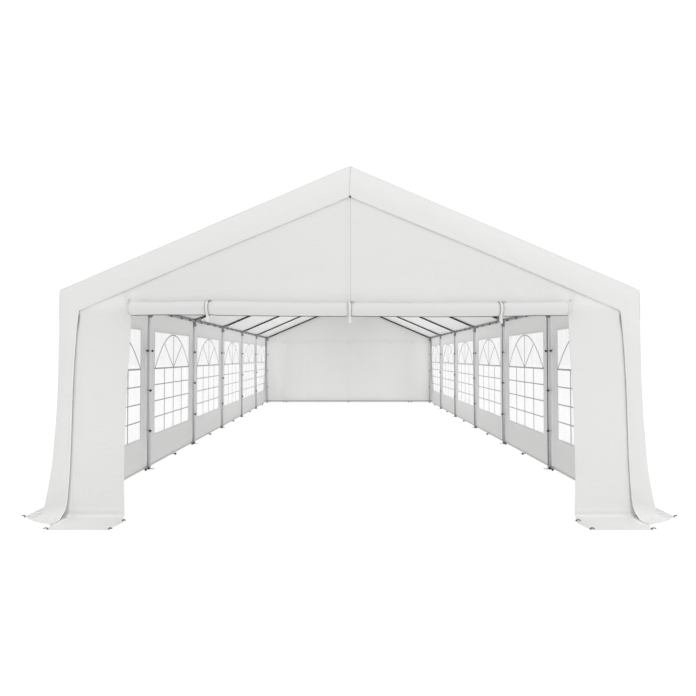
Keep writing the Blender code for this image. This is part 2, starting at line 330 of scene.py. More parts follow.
def tidyMesh(mesh):
    shape = bmesh.new()
    shape.from_mesh(mesh)
    bmesh.ops.remove_doubles(shape, verts=shape.verts, dist=0.00002)
    bmesh.ops.recalc_face_normals(shape, faces=shape.faces)
    shape.to_mesh(mesh)
    shape.free()
    mesh.shade_smooth()
    mesh.set_sharp_from_angle(angle=math.radians(40))
    return mesh


def joined(name, parts):
    # One mesh from several (points, faces)
    points, faces = [], []
    for somePoints, someFaces in parts:
        faces += [[len(points) + i for i in face] for face in someFaces]
        points += [tuple(p) for p in somePoints]
    mesh = bpy.data.meshes.new(name)
    mesh.from_pydata(points, [], faces)
    return tidyMesh(mesh)


def skinned(rings, closed=False):
    # Skin over a row of equal rings, capped at both ends where the row isn't closed
    count, facets = len(rings), len(rings[0])
    faces = []
    for i in range(count if closed else count - 1):
        j = (i + 1) % count
        for k in range(facets):
            m = (k + 1) % facets
            faces.append([i * facets + k, i * facets + m, j * facets + m, j * facets + k])
    if not closed:
        faces += [list(range(facets))[::-1], [(count - 1) * facets + k for k in range(facets)]]
    return [spot for ring in rings for spot in ring], faces


def around(steps, first=0.0, last=2 * math.pi):
    # Cosine and sine of equal steps along an arc; a whole turn leaves out its last step
    whole = last - first == 2 * math.pi
    return [(math.cos(a), math.sin(a)) for a in np.linspace(first, last, steps + whole)[: steps]]


def stations(path, closed=False, up=None):
    # Place, side and lift along a path, turned as little as possible on the way
    path = [Vector(p) for p in path]
    count = len(path)
    found, side = [], None
    for i in range(count):
        before = path[i - 1] if i or closed else path[0]
        after = path[(i + 1) % count] if i < count - 1 or closed else path[-1]
        tangent = (after - before).normalized()
        if up is not None:
            side = tangent.cross(Vector(up)).normalized()
        elif side is None:
            helper = Vector((0, 0, 1)) if abs(tangent.z) < 0.9 else Vector((1, 0, 0))
            side = tangent.cross(helper).normalized()
        else:
            side = (side - tangent * side.dot(tangent)).normalized()
        found.append((path[i], side, side.cross(tangent).normalized()))
    return found


def tube(path, radius, facets, closed=False):
    # A round rod along a path
    rings = []
    for spot, side, lift in stations(path, closed):
        rings.append([spot + side * (radius * c) + lift * (radius * s) for c, s in around(facets)])
    return skinned(rings, closed)


def ribbon(path, width, thickness, up):
    # A flat strap along a path, its flat side towards up
    corners = [(a * width / 2, b * thickness / 2) for a, b in square]
    rings = [[spot + side * a + lift * b for a, b in corners] for spot, side, lift in stations(path, up=up)]
    return skinned(rings)


def turned(start, end, profile, facets):
    # A rod turned about the line from start to end; profile is (distance along it, radius)
    start, end = Vector(start), Vector(end)
    axis = (end - start).normalized()
    helper = Vector((0, 1, 0)) if abs(axis.y) < 0.9 else Vector((1, 0, 0))
    side = axis.cross(helper).normalized()
    lift = side.cross(axis)
    rings = []
    for far, r in profile:
        rings.append([start + axis * far + (side * c + lift * s) * r for c, s in around(facets)])
    return skinned(rings)


def united(name, parts):
    # One clean mesh from closed parts that cross each other
    made = [newPiece(f"{name}{i}", joined(name, [part]), darkSteel) for i, part in enumerate(parts)]
    for other in made[1:]:
        join = made[0].modifiers.new("join", "BOOLEAN")
        join.operation, join.solver, join.object = "UNION", "EXACT", other
    mesh = tidyMesh(settled(made[0]))
    for piece in made:
        bpy.data.objects.remove(piece)
    return mesh


# Geometry Nodes
def scatterTree():
    # Sets a copy of one part on every point of the guide, turned as the guide's turn attribute says
    graph = Graph(bpy.data.node_groups.new("setOnPoints", "GeometryNodeTree"))
    face = graph.tree.interface
    kinds = {
        "Geometry": "NodeSocketGeometry",
        "Part": "NodeSocketObject",
        "Size": "NodeSocketFloat",
        "Finish": "NodeSocketMaterial",
    }
    for title, kind in kinds.items():
        face.new_socket(title, in_out="INPUT", socket_type=kind)
    face.new_socket("Geometry", in_out="OUTPUT", socket_type=kinds["Geometry"])
    entry = graph.node("NodeGroupInput").socket.node
    given = {title: Val(graph, entry.outputs[title]) for title in kinds}
    part = graph.node("GeometryNodeObjectInfo", None, {"Object": given["Part"]}, out="Geometry")
    turn = graph.node("GeometryNodeInputNamedAttribute", {"data_type": "FLOAT_VECTOR"}, {"Name": "turn"})
    points = graph.node("GeometryNodeMeshToPoints", None, {0: given["Geometry"]})
    placed = {"Points": points, "Instance": part, "Rotation": turn, "Scale": given["Size"]}
    copies = graph.node("GeometryNodeInstanceOnPoints", None, placed)
    real = graph.node("GeometryNodeRealizeInstances", None, {0: copies})
    painted = graph.node("GeometryNodeSetMaterial", None, {0: real, "Material": given["Finish"]})
    graph.node("NodeGroupOutput", None, {0: painted})
    return graph.tree


setOnPoints = scatterTree()


def carry(piece, slot, *nodes):
    # Rides on the tent's one body and, where nodes are named, stands for them
    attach(piece, "root")
    if nodes:
        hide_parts(*nodes)
    return piece


def scatter(name, mesh, spots, finish, slot, *nodes):
    # One piece with a copy of the mesh at each spot: a place, or (place, turn) where the copy is turned
    pairs = [spot if len(spot) == 2 else (spot, (0, 0, 0)) for spot in spots]
    part = newPiece(name + "Part", mesh, finish)
    guideMesh = bpy.data.meshes.new(name + "Guide")
    guideMesh.from_pydata([tuple(place) for place, _ in pairs], [], [])
    turns = guideMesh.attributes.new("turn", "FLOAT_VECTOR", "POINT")
    turns.data.foreach_set("vector", np.array([tuple(turn) for _, turn in pairs], float).ravel())
    guide = newPiece(name + "Guide", guideMesh, finish)
    modifier = guide.modifiers.new("grow", "NODES")
    modifier.node_group = setOnPoints
    given = {"Part": part, "Size": 1.0, "Finish": finish}
    for item in setOnPoints.interface.items_tree:
        if item.name in given:
            modifier[item.identifier] = given[item.name]
    mesh = tidyMesh(settled(guide))
    for spent in (guide, part):
        bpy.data.objects.remove(spent)
    return carry(newPiece(name, mesh, finish), slot, *nodes)


# Cloth
sheetCloth = {
    "thickness": 0.0036,
    "plainShare": 0.4,  # of the thickness away from the hems
    "stitch": 0.003,  # from a seam's needle line to the grid lines beside it
}
groundLift = 0.004  # cloth's middle above the ground where it lies


def smooth(low, high, value):
    t = min(max((value - low) / (high - low), 0.0), 1.0)
    return t * t * (3 - 2 * t)


def wave(u, v, seed=0.0):
    return noise.noise(Vector((u, v, seed)))


def along(keys, at):
    # Reads a value off (position, value) keys
    return float(np.interp(at, [k[0] for k in keys], [k[1] for k in keys]))


def runs(*pieces):
    # Grid lines (place, hem, seam) through runs of (start, end, count, hem); a stitched seam lies
    # where the hem changes
    found, step = [], sheetCloth["stitch"]
    for start, end, count, thick in pieces:
        line = [(float(x), thick, 0.0) for x in np.linspace(start, end, count + 1)]
        if found:
            x, before, _ = found.pop()
            line = line[1:]
            if before != thick:
                found += [(x - step, before, 0.0), (x, max(before, thick), 1.0), (x + step, thick, 0.0)]
            else:
                found.append((x, thick, 0.0))
        found += line
    return found


def bothSides(right):
    return [(-x, hem, seam) for x, hem, seam in right[:0:-1]] + right


def clothSheet(name, us, vs, place, finish, keep=None, weigh=None, flatPlace=None):
    # A sheet on a grid of u and v lines. keep drops faces, weigh can change a point's hem and seam,
    # flatPlace gives its place on the flat cloth in metres
    grid = [[Vector(place(u[0], v[0])) for v in vs] for u in us]
    mesh = bpy.data.meshes.new(name)
    shape = bmesh.new()
    layer = shape.loops.layers.uv.new("UVMap")
    deform = shape.verts.layers.deform.verify()
    # the seam layer holds needle lines, painted shade above zero and painted light below zero
    stitched = shape.verts.layers.float.new("seam")
    made = {}

    def vertex(i, j):
        if (i, j) not in made:
            (u, hemU, seamU), (v, hemV, seamV) = us[i], vs[j]
            hem, seam = max(hemU, hemV), max(seamU, seamV)
            if weigh:
                hem, seam = weigh(u, v, hem, seam)
            made[i, j] = shape.verts.new(grid[i][j])
            made[i, j][deform][0] = hem
            made[i, j][stitched] = seam
        return made[i, j]

    for i in range(len(us) - 1):
        for j in range(len(vs) - 1):
            if keep and not keep((us[i][0] + us[i + 1][0]) / 2, (vs[j][0] + vs[j + 1][0]) / 2):
                continue
            corners = [(i, j), (i + 1, j), (i + 1, j + 1), (i, j + 1)]
            face = shape.faces.new([vertex(*c) for c in corners])
            for loop, (a, b) in zip(face.loops, corners):
                u, v = us[a][0], vs[b][0]
                loop[layer].uv = flatPlace(u, v) if flatPlace else (u, v)
    shape.to_mesh(mesh)
    shape.free()
    mesh.shade_smooth()
    piece = newPiece(name, mesh, finish)
    piece.vertex_groups.new(name="hem")
    shell = piece.modifiers.new("cloth thickness", "SOLIDIFY")
    shell.thickness = sheetCloth["thickness"]
    shell.thickness_vertex_group = sheetCloth["plainShare"]
    shell.vertex_group = "hem"
    shell.offset = 0
    return piece


# Camera, floor and light
view = {
    "pixels": 466.79,  # focal length in pixels of the photo
    "width": 696,
    "distance": 4.816,  # from the front cloth
    "height": 1.64,
    "aside": -0.0168,
    "tilt": 1.107,
}


def makeCamera():
    data = bpy.data.cameras.new("camera")
    data.sensor_width = 36.0
    data.lens = view["pixels"] * data.sensor_width / view["width"]
    data.clip_end = 500
    camera = linked("camera", data)
    camera.location = (view["aside"], -coverY - view["distance"], view["height"])
    camera.rotation_euler = (math.radians(90 + view["tilt"]), 0, 0)
    bpy.context.scene.camera = camera


studio = {
    "sky": 1.01,
    "floorGlow": 0.92,
    "floorColour": 0.15,
    "floorSize": 160.0,
    # power, size, place, target, spread in degrees
    "lights": {
        "softKey": (115.0, (6.0, 6.0), (8.2, -12.2, 7.6), (0.5, -6.0, 1.8), 180),
        "topLight": (50.0, (9.0, 2.0), (0.0, -7.6, 8.0), (0.0, -6.2, 0.0), 180),
        "insideGlow": (43.0, (4.6, 6.4), (0.0, 2.7, 0.04), (0.0, 2.7, 3.0), 180),  # for the roof's underside
        # on the corner strips' feet, and through the tent onto its far corners
        "leftFootLight": (0.8, (1.2, 0.4), (-2.75, -6.85, 3.4), (-2.75, -6.3, 0.0), 34),
        "leftBackLight": (3.4, (1.6, 1.0), (1.2, -2.5, 1.2), (-2.3, 6.0, 2.1), 30),
        "rightFootLight": (0.8, (1.2, 0.4), (2.75, -6.85, 3.4), (2.75, -6.3, 0.0), 34),
        "rightBackLight": (3.4, (1.6, 1.0), (-1.2, -2.5, 1.2), (2.3, 6.0, 2.1), 30),
    },
}


def makeStudio():
    scene = bpy.context.scene
    scene.view_settings.view_transform = "Standard"
    scene.world = bpy.data.worlds.new("studio")
    scene.world.use_nodes = True
    sky = scene.world.node_tree.nodes["Background"].inputs
    sky["Color"].default_value = (1, 1, 1, 1)
    sky["Strength"].default_value = studio["sky"]
    grey = studio["floorColour"]
    f = Finish("paleFloor", Base_Color=(grey, grey, grey, 1), Roughness=0.9, Specular_IOR_Level=0.0)
    f.shader.inputs["Emission Color"].default_value = (1, 1, 1, 1)
    f.shader.inputs["Emission Strength"].default_value = studio["floorGlow"]
    half = studio["floorSize"] / 2
    mesh = bpy.data.meshes.new("floor")
    mesh.from_pydata([(x * half, y * half, 0) for x, y in square], [], [(0, 1, 2, 3)])
    floor = newPiece("floor", mesh, f.material)
    floor.location.z = -0.002
    for name, (power, size, place, target, spread) in studio["lights"].items():
        light = bpy.data.lights.new(name, "AREA")
        light.energy, light.shape, light.spread = power, "RECTANGLE", math.radians(spread)
        light.size, light.size_y = size
        lamp = linked(name, light)
        lamp.location = place
        lamp.rotation_euler = (Vector(target) - Vector(place)).to_track_quat("-Z", "Y").to_euler()
        lamp.visible_camera = False


makeCamera()
makeStudio()
print("camera and studio set")

# Roof cover: one sheet over both slopes, with a valance at each eave
roof = {
    "valance": 0.30,
    "hem": 0.035,
    "sag": 0.026,  # between rafters, at mid slope
    "ripple": 0.004,
    "push": (0.010, 0.004),  # wide and narrow waves of a valance
    "fold": 0.035,  # length of the rounded turn at the ridge and eaves
    "seam": 0.022,  # half width of the doubled cloth over each rafter
}
slopeLength = math.hypot(eaveX, eaveZ - ridgeZ)


def roofLine(a):
    # Place on the cross-section at distance a from the ridge, before the turns are rounded
    d = abs(a)
    if d <= slopeLength:
        return Vector((d * math.cos(pitch), 0, ridgeZ - d * math.sin(pitch)))
    return Vector((eaveX, 0, eaveZ - (d - slopeLength)))


def roofSection(a):
    d, half = abs(a), roof["fold"]
    spot = roofLine(d)
    for corner in (0.0, slopeLength):
        if abs(d - corner) < half:
            t = (d - corner + half) / (2 * half)
            first, peak, last = [roofLine(corner + k * half) for k in (-1, 0, 1)]
            if corner == 0.0:
                first.x = -first.x
            spot = first * (1 - t) ** 2 + peak * (2 * t * (1 - t)) + last * t * t
    return Vector((math.copysign(spot.x, a) if abs(a) > 1e-9 else 0.0, 0, spot.z))


def roofPlace(y, a):
    spot = roofSection(a)
    d = abs(a)
    bay = ((y - frameYs[0]) / bayLength) % 1.0
    if abs(y) > abs(frameYs[0]):
        bay = 0.0
    down = min(d / slopeLength, 1.0)
    dip = roof["sag"] * math.sin(math.pi * bay) ** 1.4 * math.sin(math.pi * down) ** 0.8
    dip += roof["ripple"] * wave(y * 1.3, a * 1.1, 3.0) * math.sin(math.pi * down)
    spot.z -= dip
    if d > slopeLength:
        # the valance moves more towards its hem, and not at the gables
        free = (d - slopeLength) / roof["valance"] * (1 - smooth(5.5, 5.95, abs(y)))
        wide, narrow = roof["push"]
        push = (wide * wave(y * 1.6, 0.4, 8.0) + narrow * wave(y * 5.0, 1.0, 9.0)) * free
        spot.x += math.copysign(abs(push), a)
    return spot.x, y, spot.z


def makeRoof():
    total, fold, half = slopeLength + roof["valance"], roof["fold"], roof["seam"]
    right = runs(
        (0.0, half, 2, 1),
        (half, slopeLength - fold, 26, 0),
        (slopeLength - fold, slopeLength + fold, 6, 0),
        (slopeLength + fold, total - roof["hem"], 6, 0),
        (total - roof["hem"], total, 2, 1),
    )
    stops, at = [], -coverY
    for m in frameYs[1:-1]:
        stops += [(at, m - half, 14, 0), (m - half, m + half, 2, 1)]
        at = m + half
    stops.append((at, coverY, 14, 0))
    piece = clothSheet("roofCover", runs(*stops), bothSides(right), roofPlace, roofCloth)
    carry(piece, "roof_cloth", "roof_left", "roof_right", "valance_left", "valance_right")


makeRoof()
print("roof cover drawn over the frame")

# Border of each gable: a band under the roof edge that turns into a strip down each corner.
# Keys run from the pegged foot upwards: outer edge (x, forward, z), inner edge (x, forward, z)
border = {
    "band": 0.30,
    "flange": 0.09,
    "hem": 0.022,
    "turn": 0.024,
    "keys": [
        ((3.316, 0.015, 0.011), (2.917, 0.240, 0.011)),
        ((3.222, 0.014, 0.014), (2.890, 0.165, 0.013)),
        ((3.158, 0.012, 0.042), (2.903, 0.095, 0.022)),
        ((3.124, 0.010, 0.120), (2.890, 0.024, 0.110)),
        ((3.094, 0.008, 0.315), (2.876, 0.010, 0.300)),
        ((3.058, 0.006, 0.600), (2.864, 0.006, 0.600)),
        ((3.028, 0.005, 1.000), (2.855, 0.004, 1.000)),
        ((3.014, 0.004, 1.400), (2.845, 0.003, 1.400)),
        ((3.006, 0.004, 1.900), (2.824, 0.003, 1.800)),
    ],
    "belly": 0.010,
    "slack": (0.008, 0.003),  # wide and narrow waves
    "footBow": 0.035,  # how far the foot's pegged edge bows out
    "peak": 0.021,  # extra depth of the band under the ridge
    "lap": 0.006,  # how far it stands off the roof cloth that it is sewn on
    "close": 0.002,  # its hem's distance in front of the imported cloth
    "innerCorner": 2.795,
    "cut": 0.45,  # width of the flat strip, and how much of its rectangle is cloth
    "cutShare": 0.86,
}


def throughKeys(keys, count):
    # A smooth curve through the keys, count steps to each span
    keys = [np.array(k, float) for k in keys]
    padded = [2 * keys[0] - keys[1], *keys, 2 * keys[-1] - keys[-2]]
    found = []
    for i in range(1, len(padded) - 2):
        a, b, c, d = padded[i - 1 : i + 3]
        for step in range(count):
            t = step / count
            second, third = 2 * a - 5 * b + 4 * c - d, 3 * b - a - 3 * c + d
            found.append(0.5 * (2 * b + (c - a) * t + second * t**2 + third * t**3))
    return found + [keys[-1]]


def borderPath():
    # Stations of one half from foot to ridge: (outer place, inner place, outward direction, turn radius)
    reach, lap, close = eaveX + border["lap"], border["lap"], border["close"]
    inX, band = border["innerCorner"], border["band"]
    keys = [*border["keys"], ((reach, 0.004, eaveZ + lap), (inX, close, roofZ(inX) - band))]
    found = []
    for p, q in zip(*[throughKeys([key[k] for key in keys], 6) for k in (0, 1)]):
        found.append((Vector(p), Vector(q), Vector((1, 0, 0)), border["turn"] * smooth(0.02, 0.45, p[2])))
    uphill = Vector((math.sin(pitch), 0, math.cos(pitch)))
    near = [0.024, 0.015, 0.012, 0.009]  # rows of the ridge seam, in metres from the middle
    for share in [*np.linspace(0, 1, 54)[1:-1], *[1 - n / eaveX for n in near], 1.0]:
        px, qx = reach * (1 - share), inX * (1 - share)
        deeper = border["peak"] * (1 - smooth(0.0, 1.6, qx))
        p, q = Vector((px, 0.004, roofZ(px) + lap)), Vector((qx, close, roofZ(qx) - band - deeper))
        found.append((p, q, uphill, border["turn"]))
    return found


def borderRow(p, q, outward, radius, at):
    # Places across the border at one station, from the flange over the turn to the inner hem. Here y is
    # forward, away from the tent
    forward, (wide, narrow) = Vector((0, 1, 0)), border["slack"]
    grounded = smooth(0.02, 0.30, p.z)
    places = [p - forward * (radius + (border["flange"] - radius) * share) for share in (1.0, 0.5, 0.0)]
    start = p - outward * radius
    for c, s in around(5, 0.0, math.pi / 2)[1:-1]:
        places.append(start - forward * radius + (outward * c + forward * s) * radius)
    hemShare = 1 - border["hem"] / max((q - start).length, 0.05)
    for t in sorted([0.0, 0.12, 0.25, 0.38, 0.5, 0.62, 0.74, 0.86, hemShare - 0.01, hemShare, 1.0]):
        spot = start.lerp(q, t)
        belly = math.sin(math.pi * t) * border["belly"] * grounded
        slack = abs(wide * wave(at * 1.4, t * 0.8, 21.0) + narrow * wave(at * 5.0, t * 2.0, 22.0)) * grounded
        foot = border["footBow"] * math.sin(math.pi * t) * (1 - smooth(0.011, 0.04, p.z))
        spot += forward * (belly + slack * math.sin(math.pi * t * 0.8) + foot)
        spot.z += 0.004 * (1 - grounded) * wave(at * 9.0, t * 3.0, 23.0) ** 2
        places.append(spot)
    return places


def makeBorder(end, e):
    half = borderPath()
    lengths = [0.0]
    for (p, *_), (q, *_) in zip(half, half[1:]):
        lengths.append(lengths[-1] + (q - p).length)
    rows = [borderRow(*station, at) for station, at in zip(half, lengths)]
    table = [[Vector((-p.x, p.y, p.z)) for p in row] for row in rows] + rows[-2::-1]
    middle, full = len(half) - 1, 2 * lengths[-1]
    lengths += [full - a for a in lengths[-2::-1]]
    across = [0.0]
    for a, b in zip(rows[-1], rows[-1][1:]):
        across.append(across[-1] + (b - a).length)
    last = len(across) - 1
    marks = {last - 1: 0.12, last: -0.35}  # the hem's needle line, and a painted highlight along its fold
    us = [(i, 1.0 if abs(i - middle) <= 2 else 0.0, 0.55 if i == middle else 0.0) for i in range(len(table))]
    vs = [(j, 1.0 if j >= last - 1 else 0.0, marks.get(j, 0.0)) for j in range(last + 1)]

    def place(i, j):
        spot = table[i][j]
        return spot.x, e * (coverY + spot.y), spot.z

    def weigh(i, j, hem, seam):
        # the painted highlight on the fold stops at the ridge seam, and painted shade makes the strips darker
        # than the band
        if j == last and abs(i - middle) > 2:
            return hem, marks[last]
        return hem, seam + 0.07 * (1 - smooth(1.6, 2.1, half[min(i, 2 * middle - i)][0].z))

    flatPlace = lambda i, j: (lengths[i], across[j])
    piece = clothSheet(f"{end}Border", us, vs, place, roofCloth, weigh=weigh, flatPlace=flatPlace)
    carry(piece, "roof_cloth", f"{end}_border_left", f"{end}_border_right")
    flat = (border["cut"], full)
    border["cutShare"] * flat[0] * full


for end, e in ends.items():
    makeBorder(end, e)
print("gable borders hung")

# End walls: the front has a doorway between two panels, the back is closed. Each turns out on the ground
endWall = {
    "bend": 0.035,
    "hem": 0.025,
    "seam": 0.010,  # half width of the seam up the middle
    "foldDepth": 0.014,
    "fineFolds": 0.004,
    "ripple": 0.006,
    "lap": 0.004,  # cloth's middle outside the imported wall
    "roofGap": 0.012,
    "skirt": skirtY - endWallY,
    "foldX": 2.86,  # where a panel turns back behind the corner strip
    "recess": 0.004,
    # (height, mark) of painted shade and painted light: where a panel turns back behind a corner strip, and
    # elsewhere on the front
    "shadeBehind": [
        (-0.05, -0.24), (0.02, -0.48), (0.16, -0.3), (0.3, -0.2),
        (0.5, 0.06), (1.2, 0.16), (1.9, 0.20), (2.02, 1.0),
    ],
    # painted light at the foot's bend and just above the door roll, where shade falls
    "paintedLight": [
        (-0.05, 0.0), (0.02, -0.10), (0.06, -0.20), (0.14, -0.12),
        (0.45, 0.0), (2.1, 0.0), (2.2, -0.15), (2.5, 0.0),
    ],
    "cornerPaintedLight": -0.3,  # painted light towards the back wall's corners, inside
    "tape": 0.030,  # height of the doubled band along the foot, just above the bend, drawn dark as painted contact shadow
    "eaveHem": {-1: 2.295, 1: 2.225},  # top of the hem near eave height, front and back
    "hemDepth": 0.07,
    # (height, x) of a panel's edges
    "door": [
        (0.0, 2.308), (0.15, 2.315), (0.4, 2.318), (0.8, 2.313),
        (1.2, 2.302), (1.5, 2.288), (1.72, 2.272), (2.05, 2.260),
    ],
    "fold": [
        (0.0, 2.852), (0.4, 2.852), (0.6, 2.847), (0.8, 2.839),
        (1.2, 2.820), (1.6, 2.811), (1.83, 2.803), (2.09, 2.785),
    ],
}


def footPath(v, bend):
    # (forward, height) at a place v on the cloth: v is the height on the hanging part, and below the
    # bend the cloth runs out along the ground
    top, arc = groundLift + bend, math.pi / 2 * bend
    if v >= top:
        return 0.0, v
    if v > top - arc:
        a = (top - v) / bend
        return bend - bend * math.cos(a), top - bend * math.sin(a)
    return bend + top - arc - v, groundLift


def footRuns(bend, reach, hem, tape):
    # Grid runs from the skirt's pegged edge up over the bend to the top of the tape at the foot
    top = groundLift + bend
    start = top - math.pi / 2 * bend
    low = start - (reach - bend)
    return [(low, low + hem, 1, 1), (low + hem, start, 12, 0), (start, top, 6, 0), (top, top + tape, 1, 1)]


def flare(z):
    # How far the corner strip pulls the walls outwards at this height
    outer = sorted((key[0][2], key[0][0]) for key in border["keys"][2:])
    return along(outer, z) - wallX


def panelEdges(forward, z):
    # x of a panel's door edge, fold and outer edge at this height, or this far out on the ground
    w = min(forward / endWall["skirt"], 1.0)
    door = along(endWall["door"], z) - 0.058 * smooth(0.05, 0.36, w) + 0.032 * smooth(0.45, 1.0, w)
    outer = edgeX - 0.008 + (flare(z) - 0.012) * (1 - smooth(0.0, 0.5, w)) - 0.066 * smooth(0.35, 1.0, w)
    fold = along(endWall["fold"], z) - 0.03 * smooth(0.4, 1.0, w)
    return door, fold, outer


def endWallPlace(x, v, e):
    forward, z = footPath(v, endWall["bend"])
    eaveHem, foldX = endWall["eaveHem"][e], endWall["foldX"]
    d = abs(x)
    if v > eaveHem:
        z = eaveHem + (v - eaveHem) * (roofZ(d) - endWall["roofGap"] - eaveHem)
    door, fold, outer = panelEdges(forward, z)
    spread = float(np.interp(d, (doorX, foldX, edgeX), (door, fold, outer))) if d >= doorX else d
    high = smooth(doorZ, doorZ + 0.2, z)
    hanging = smooth(0.0, 0.35, z) * (1 - smooth(doorZ - 0.2, doorZ + 0.5, z))
    folds = endWall["foldDepth"] * wave(x * 3.1, z * 0.45, 31.0 + e) * hanging
    folds += endWall["fineFolds"] * wave(x * 9.0, z * 2.2, 32.0 + e) * smooth(0.0, 0.3, z)
    calm = 1 - smooth(foldX - 0.1, foldX, d)
    behind = endWall["recess"] * smooth(0.0, 0.035, d - foldX) * (1 - high) * (1 - smooth(0.0, 0.15, forward))
    ripple = endWall["ripple"] * wave(x * 4.0, forward * 6.0, 33.0 + e) ** 2 * smooth(0.0, 0.1, forward)
    y = e * (endWallY + endWall["lap"] + forward + abs(folds) * calm - behind)
    return math.copysign(spread + (d - spread) * high, x), y, z + ripple


def makeEndWall(end, e, doorway):
    hemWide, fold, half = endWall["hem"], endWall["foldX"], endWall["seam"]
    hemHigh = endWall["eaveHem"][e]
    hemLow = hemHigh - endWall["hemDepth"]
    jamb = 1 if doorway else 0
    right = runs(
        (0.0, half, 1, 1), (half, doorX, 40, 0), (doorX, doorX + hemWide, 1, jamb),
        (doorX + hemWide, fold - 0.004, 17, 0), (fold - 0.004, fold + 0.036, 6, 0),
        (fold + 0.036, edgeX, 3, 0),
    )
    bend = groundLift + endWall["bend"]
    foot = bend + endWall["tape"]
    vs = runs(
        *footRuns(endWall["bend"], endWall["skirt"], hemWide, endWall["tape"]),
        (foot, doorZ - 0.03, 44, 0), (doorZ - 0.03, doorZ, 1, jamb), (doorZ, hemLow, 4, 0),
        (hemLow, hemHigh, 2, 1 - jamb), (hemHigh, hemHigh + 1.0, 16, 0),
    )

    def keep(x, v):
        return not (doorway and abs(x) < doorX and v < doorZ)

    def weigh(x, v, hem, seam):
        d = abs(x)
        if not doorway:
            # the doubled band at the foot is drawn dark: painted contact shadow at the ground
            if bend - 1e-4 < v < foot + 1e-4:
                return hem, 1.0
            stitched = 0.0 if d < half + 0.001 else 1.2 * seam
            # painted light towards the corners, plus needle lines
            return hem, endWall["cornerPaintedLight"] * smooth(2.1, 2.9, d) + stitched
        # behind a corner strip: painted shade up the slit, painted light near the foot, a little paler on the
        # right
        if d > fold + 0.001 and -0.2 < v < doorZ:
            return hem, along(endWall["shadeBehind"], v) - (0.12 if x > 0 and v > 0.3 else 0.0)
        # the jambs' hems end at the door's head, and the head's hem at the jambs
        aboveJamb = doorX - 0.01 < d < doorX + hemWide + 0.01 and v > doorZ + 0.001
        if aboveJamb or (d > doorX + 0.04 and doorZ - 0.04 < v < doorZ + 0.01):
            return 0.0, 0.0
        stitched = 1.0 if 0 < x < half + 0.001 and v > doorZ else 0.12
        # needle lines, plus painted light by height
        return hem, stitched * seam + along(endWall["paintedLight"], v)

    def flatPlace(x, v):
        return (x, v) if v <= hemHigh else (x, hemHigh + (v - hemHigh) * (roofZ(x) - hemHigh))

    place = lambda x, v: endWallPlace(x, v, e)
    finish = wallCloth if doorway else sideCloth
    piece = clothSheet(f"{end}Wall", bothSides(right), vs, place, finish, keep, weigh, flatPlace)
    gable = edgeX * (ridgeZ + roofZ(edgeX) - 2 * doorZ)
    lower = 2 * (edgeX - (doorX if doorway else 0.0)) * (doorZ + endWall["skirt"])
    front = ["front_gable", "front_panel_left", "front_panel_right", "front_skirt_left", "front_skirt_right"]
    carry(piece, "wall_cloth", *(front if doorway else ["back_wall", "back_skirt"]))
    gable + lower


makeEndWall("front", -1, True)
makeEndWall("back", 1, False)
print("end walls hung")

# Side walls: one sheet to a side, six window openings, the foot turned out on the ground
sideWall = {
    "bend": 0.03,
    "hem": 0.025,
    "seam": 0.03,  # half width of the overlap at each post
    "frame": 0.022,  # welded tape round each window
    # doubled band along the foot, drawn dark as painted contact shadow
    "tape": 0.014,
    "foldDepth": 0.008,
    "fineFolds": 0.003,
    "ripple": 0.008,
    "lap": 0.003,  # cloth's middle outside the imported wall
    "postPaintedLight": -0.5,  # painted light on the wall's inside beside each post, where the post's shade falls
    "topPaintedLight": -0.30,  # and painted light towards the top, inside
    "end": coverY - 0.03,
    "pulled": 5.62,  # from here to its ends the corner strips pull it out
}
film = {"margin": 0.03, "thickness": 0.0008, "slack": 0.004, "lap": 0.004}  # lap: outside the wall's cloth
windowLowZ, windowHighZ = filmBox[0].z + film["margin"], filmBox[1].z - film["margin"]
windowHalf = filmBox[1].y - film["margin"] - bayMiddles[-1]
wallTop = wallTopZ - 0.006


def fromPane(y, z):
    # Distances outside the nearest window's opening, along the wall and up it
    across = min(abs(y - m) for m in bayMiddles) - windowHalf
    return across, max(windowLowZ - z, z - windowHighZ)


def sideWallPlace(y, v, s):
    out, z = footPath(v, sideWall["bend"])
    corner = smooth(sideWall["pulled"], sideWall["end"], abs(y))
    base = wallX + sideWall["lap"] + flare(z) * corner
    reach = skirtX - wallX - sideWall["lap"]
    free = smooth(0.15, 0.7, z) * (1 - smooth(1.9, wallTop, z))
    post = min(abs(y - f) for f in frameYs)
    calm = 0.35 if max(fromPane(y, z)) < 0.1 else 1.0
    folds = sideWall["foldDepth"] * (1 + wave(y * 2.3, z * 0.5, 41.0 + s)) * free * calm
    fine = sideWall["fineFolds"] * (1 + wave(y * 8.0, z * 2.0, 42.0))
    folds += fine * free * calm * smooth(0.03, 0.2, post)
    ripple = sideWall["ripple"] * wave(y * 2.6, out * 5.0, 43.0 + s) ** 2 * smooth(0.0, 0.1, out)
    return s * (base + out * (skirtX - base) / reach + folds), y, z + ripple


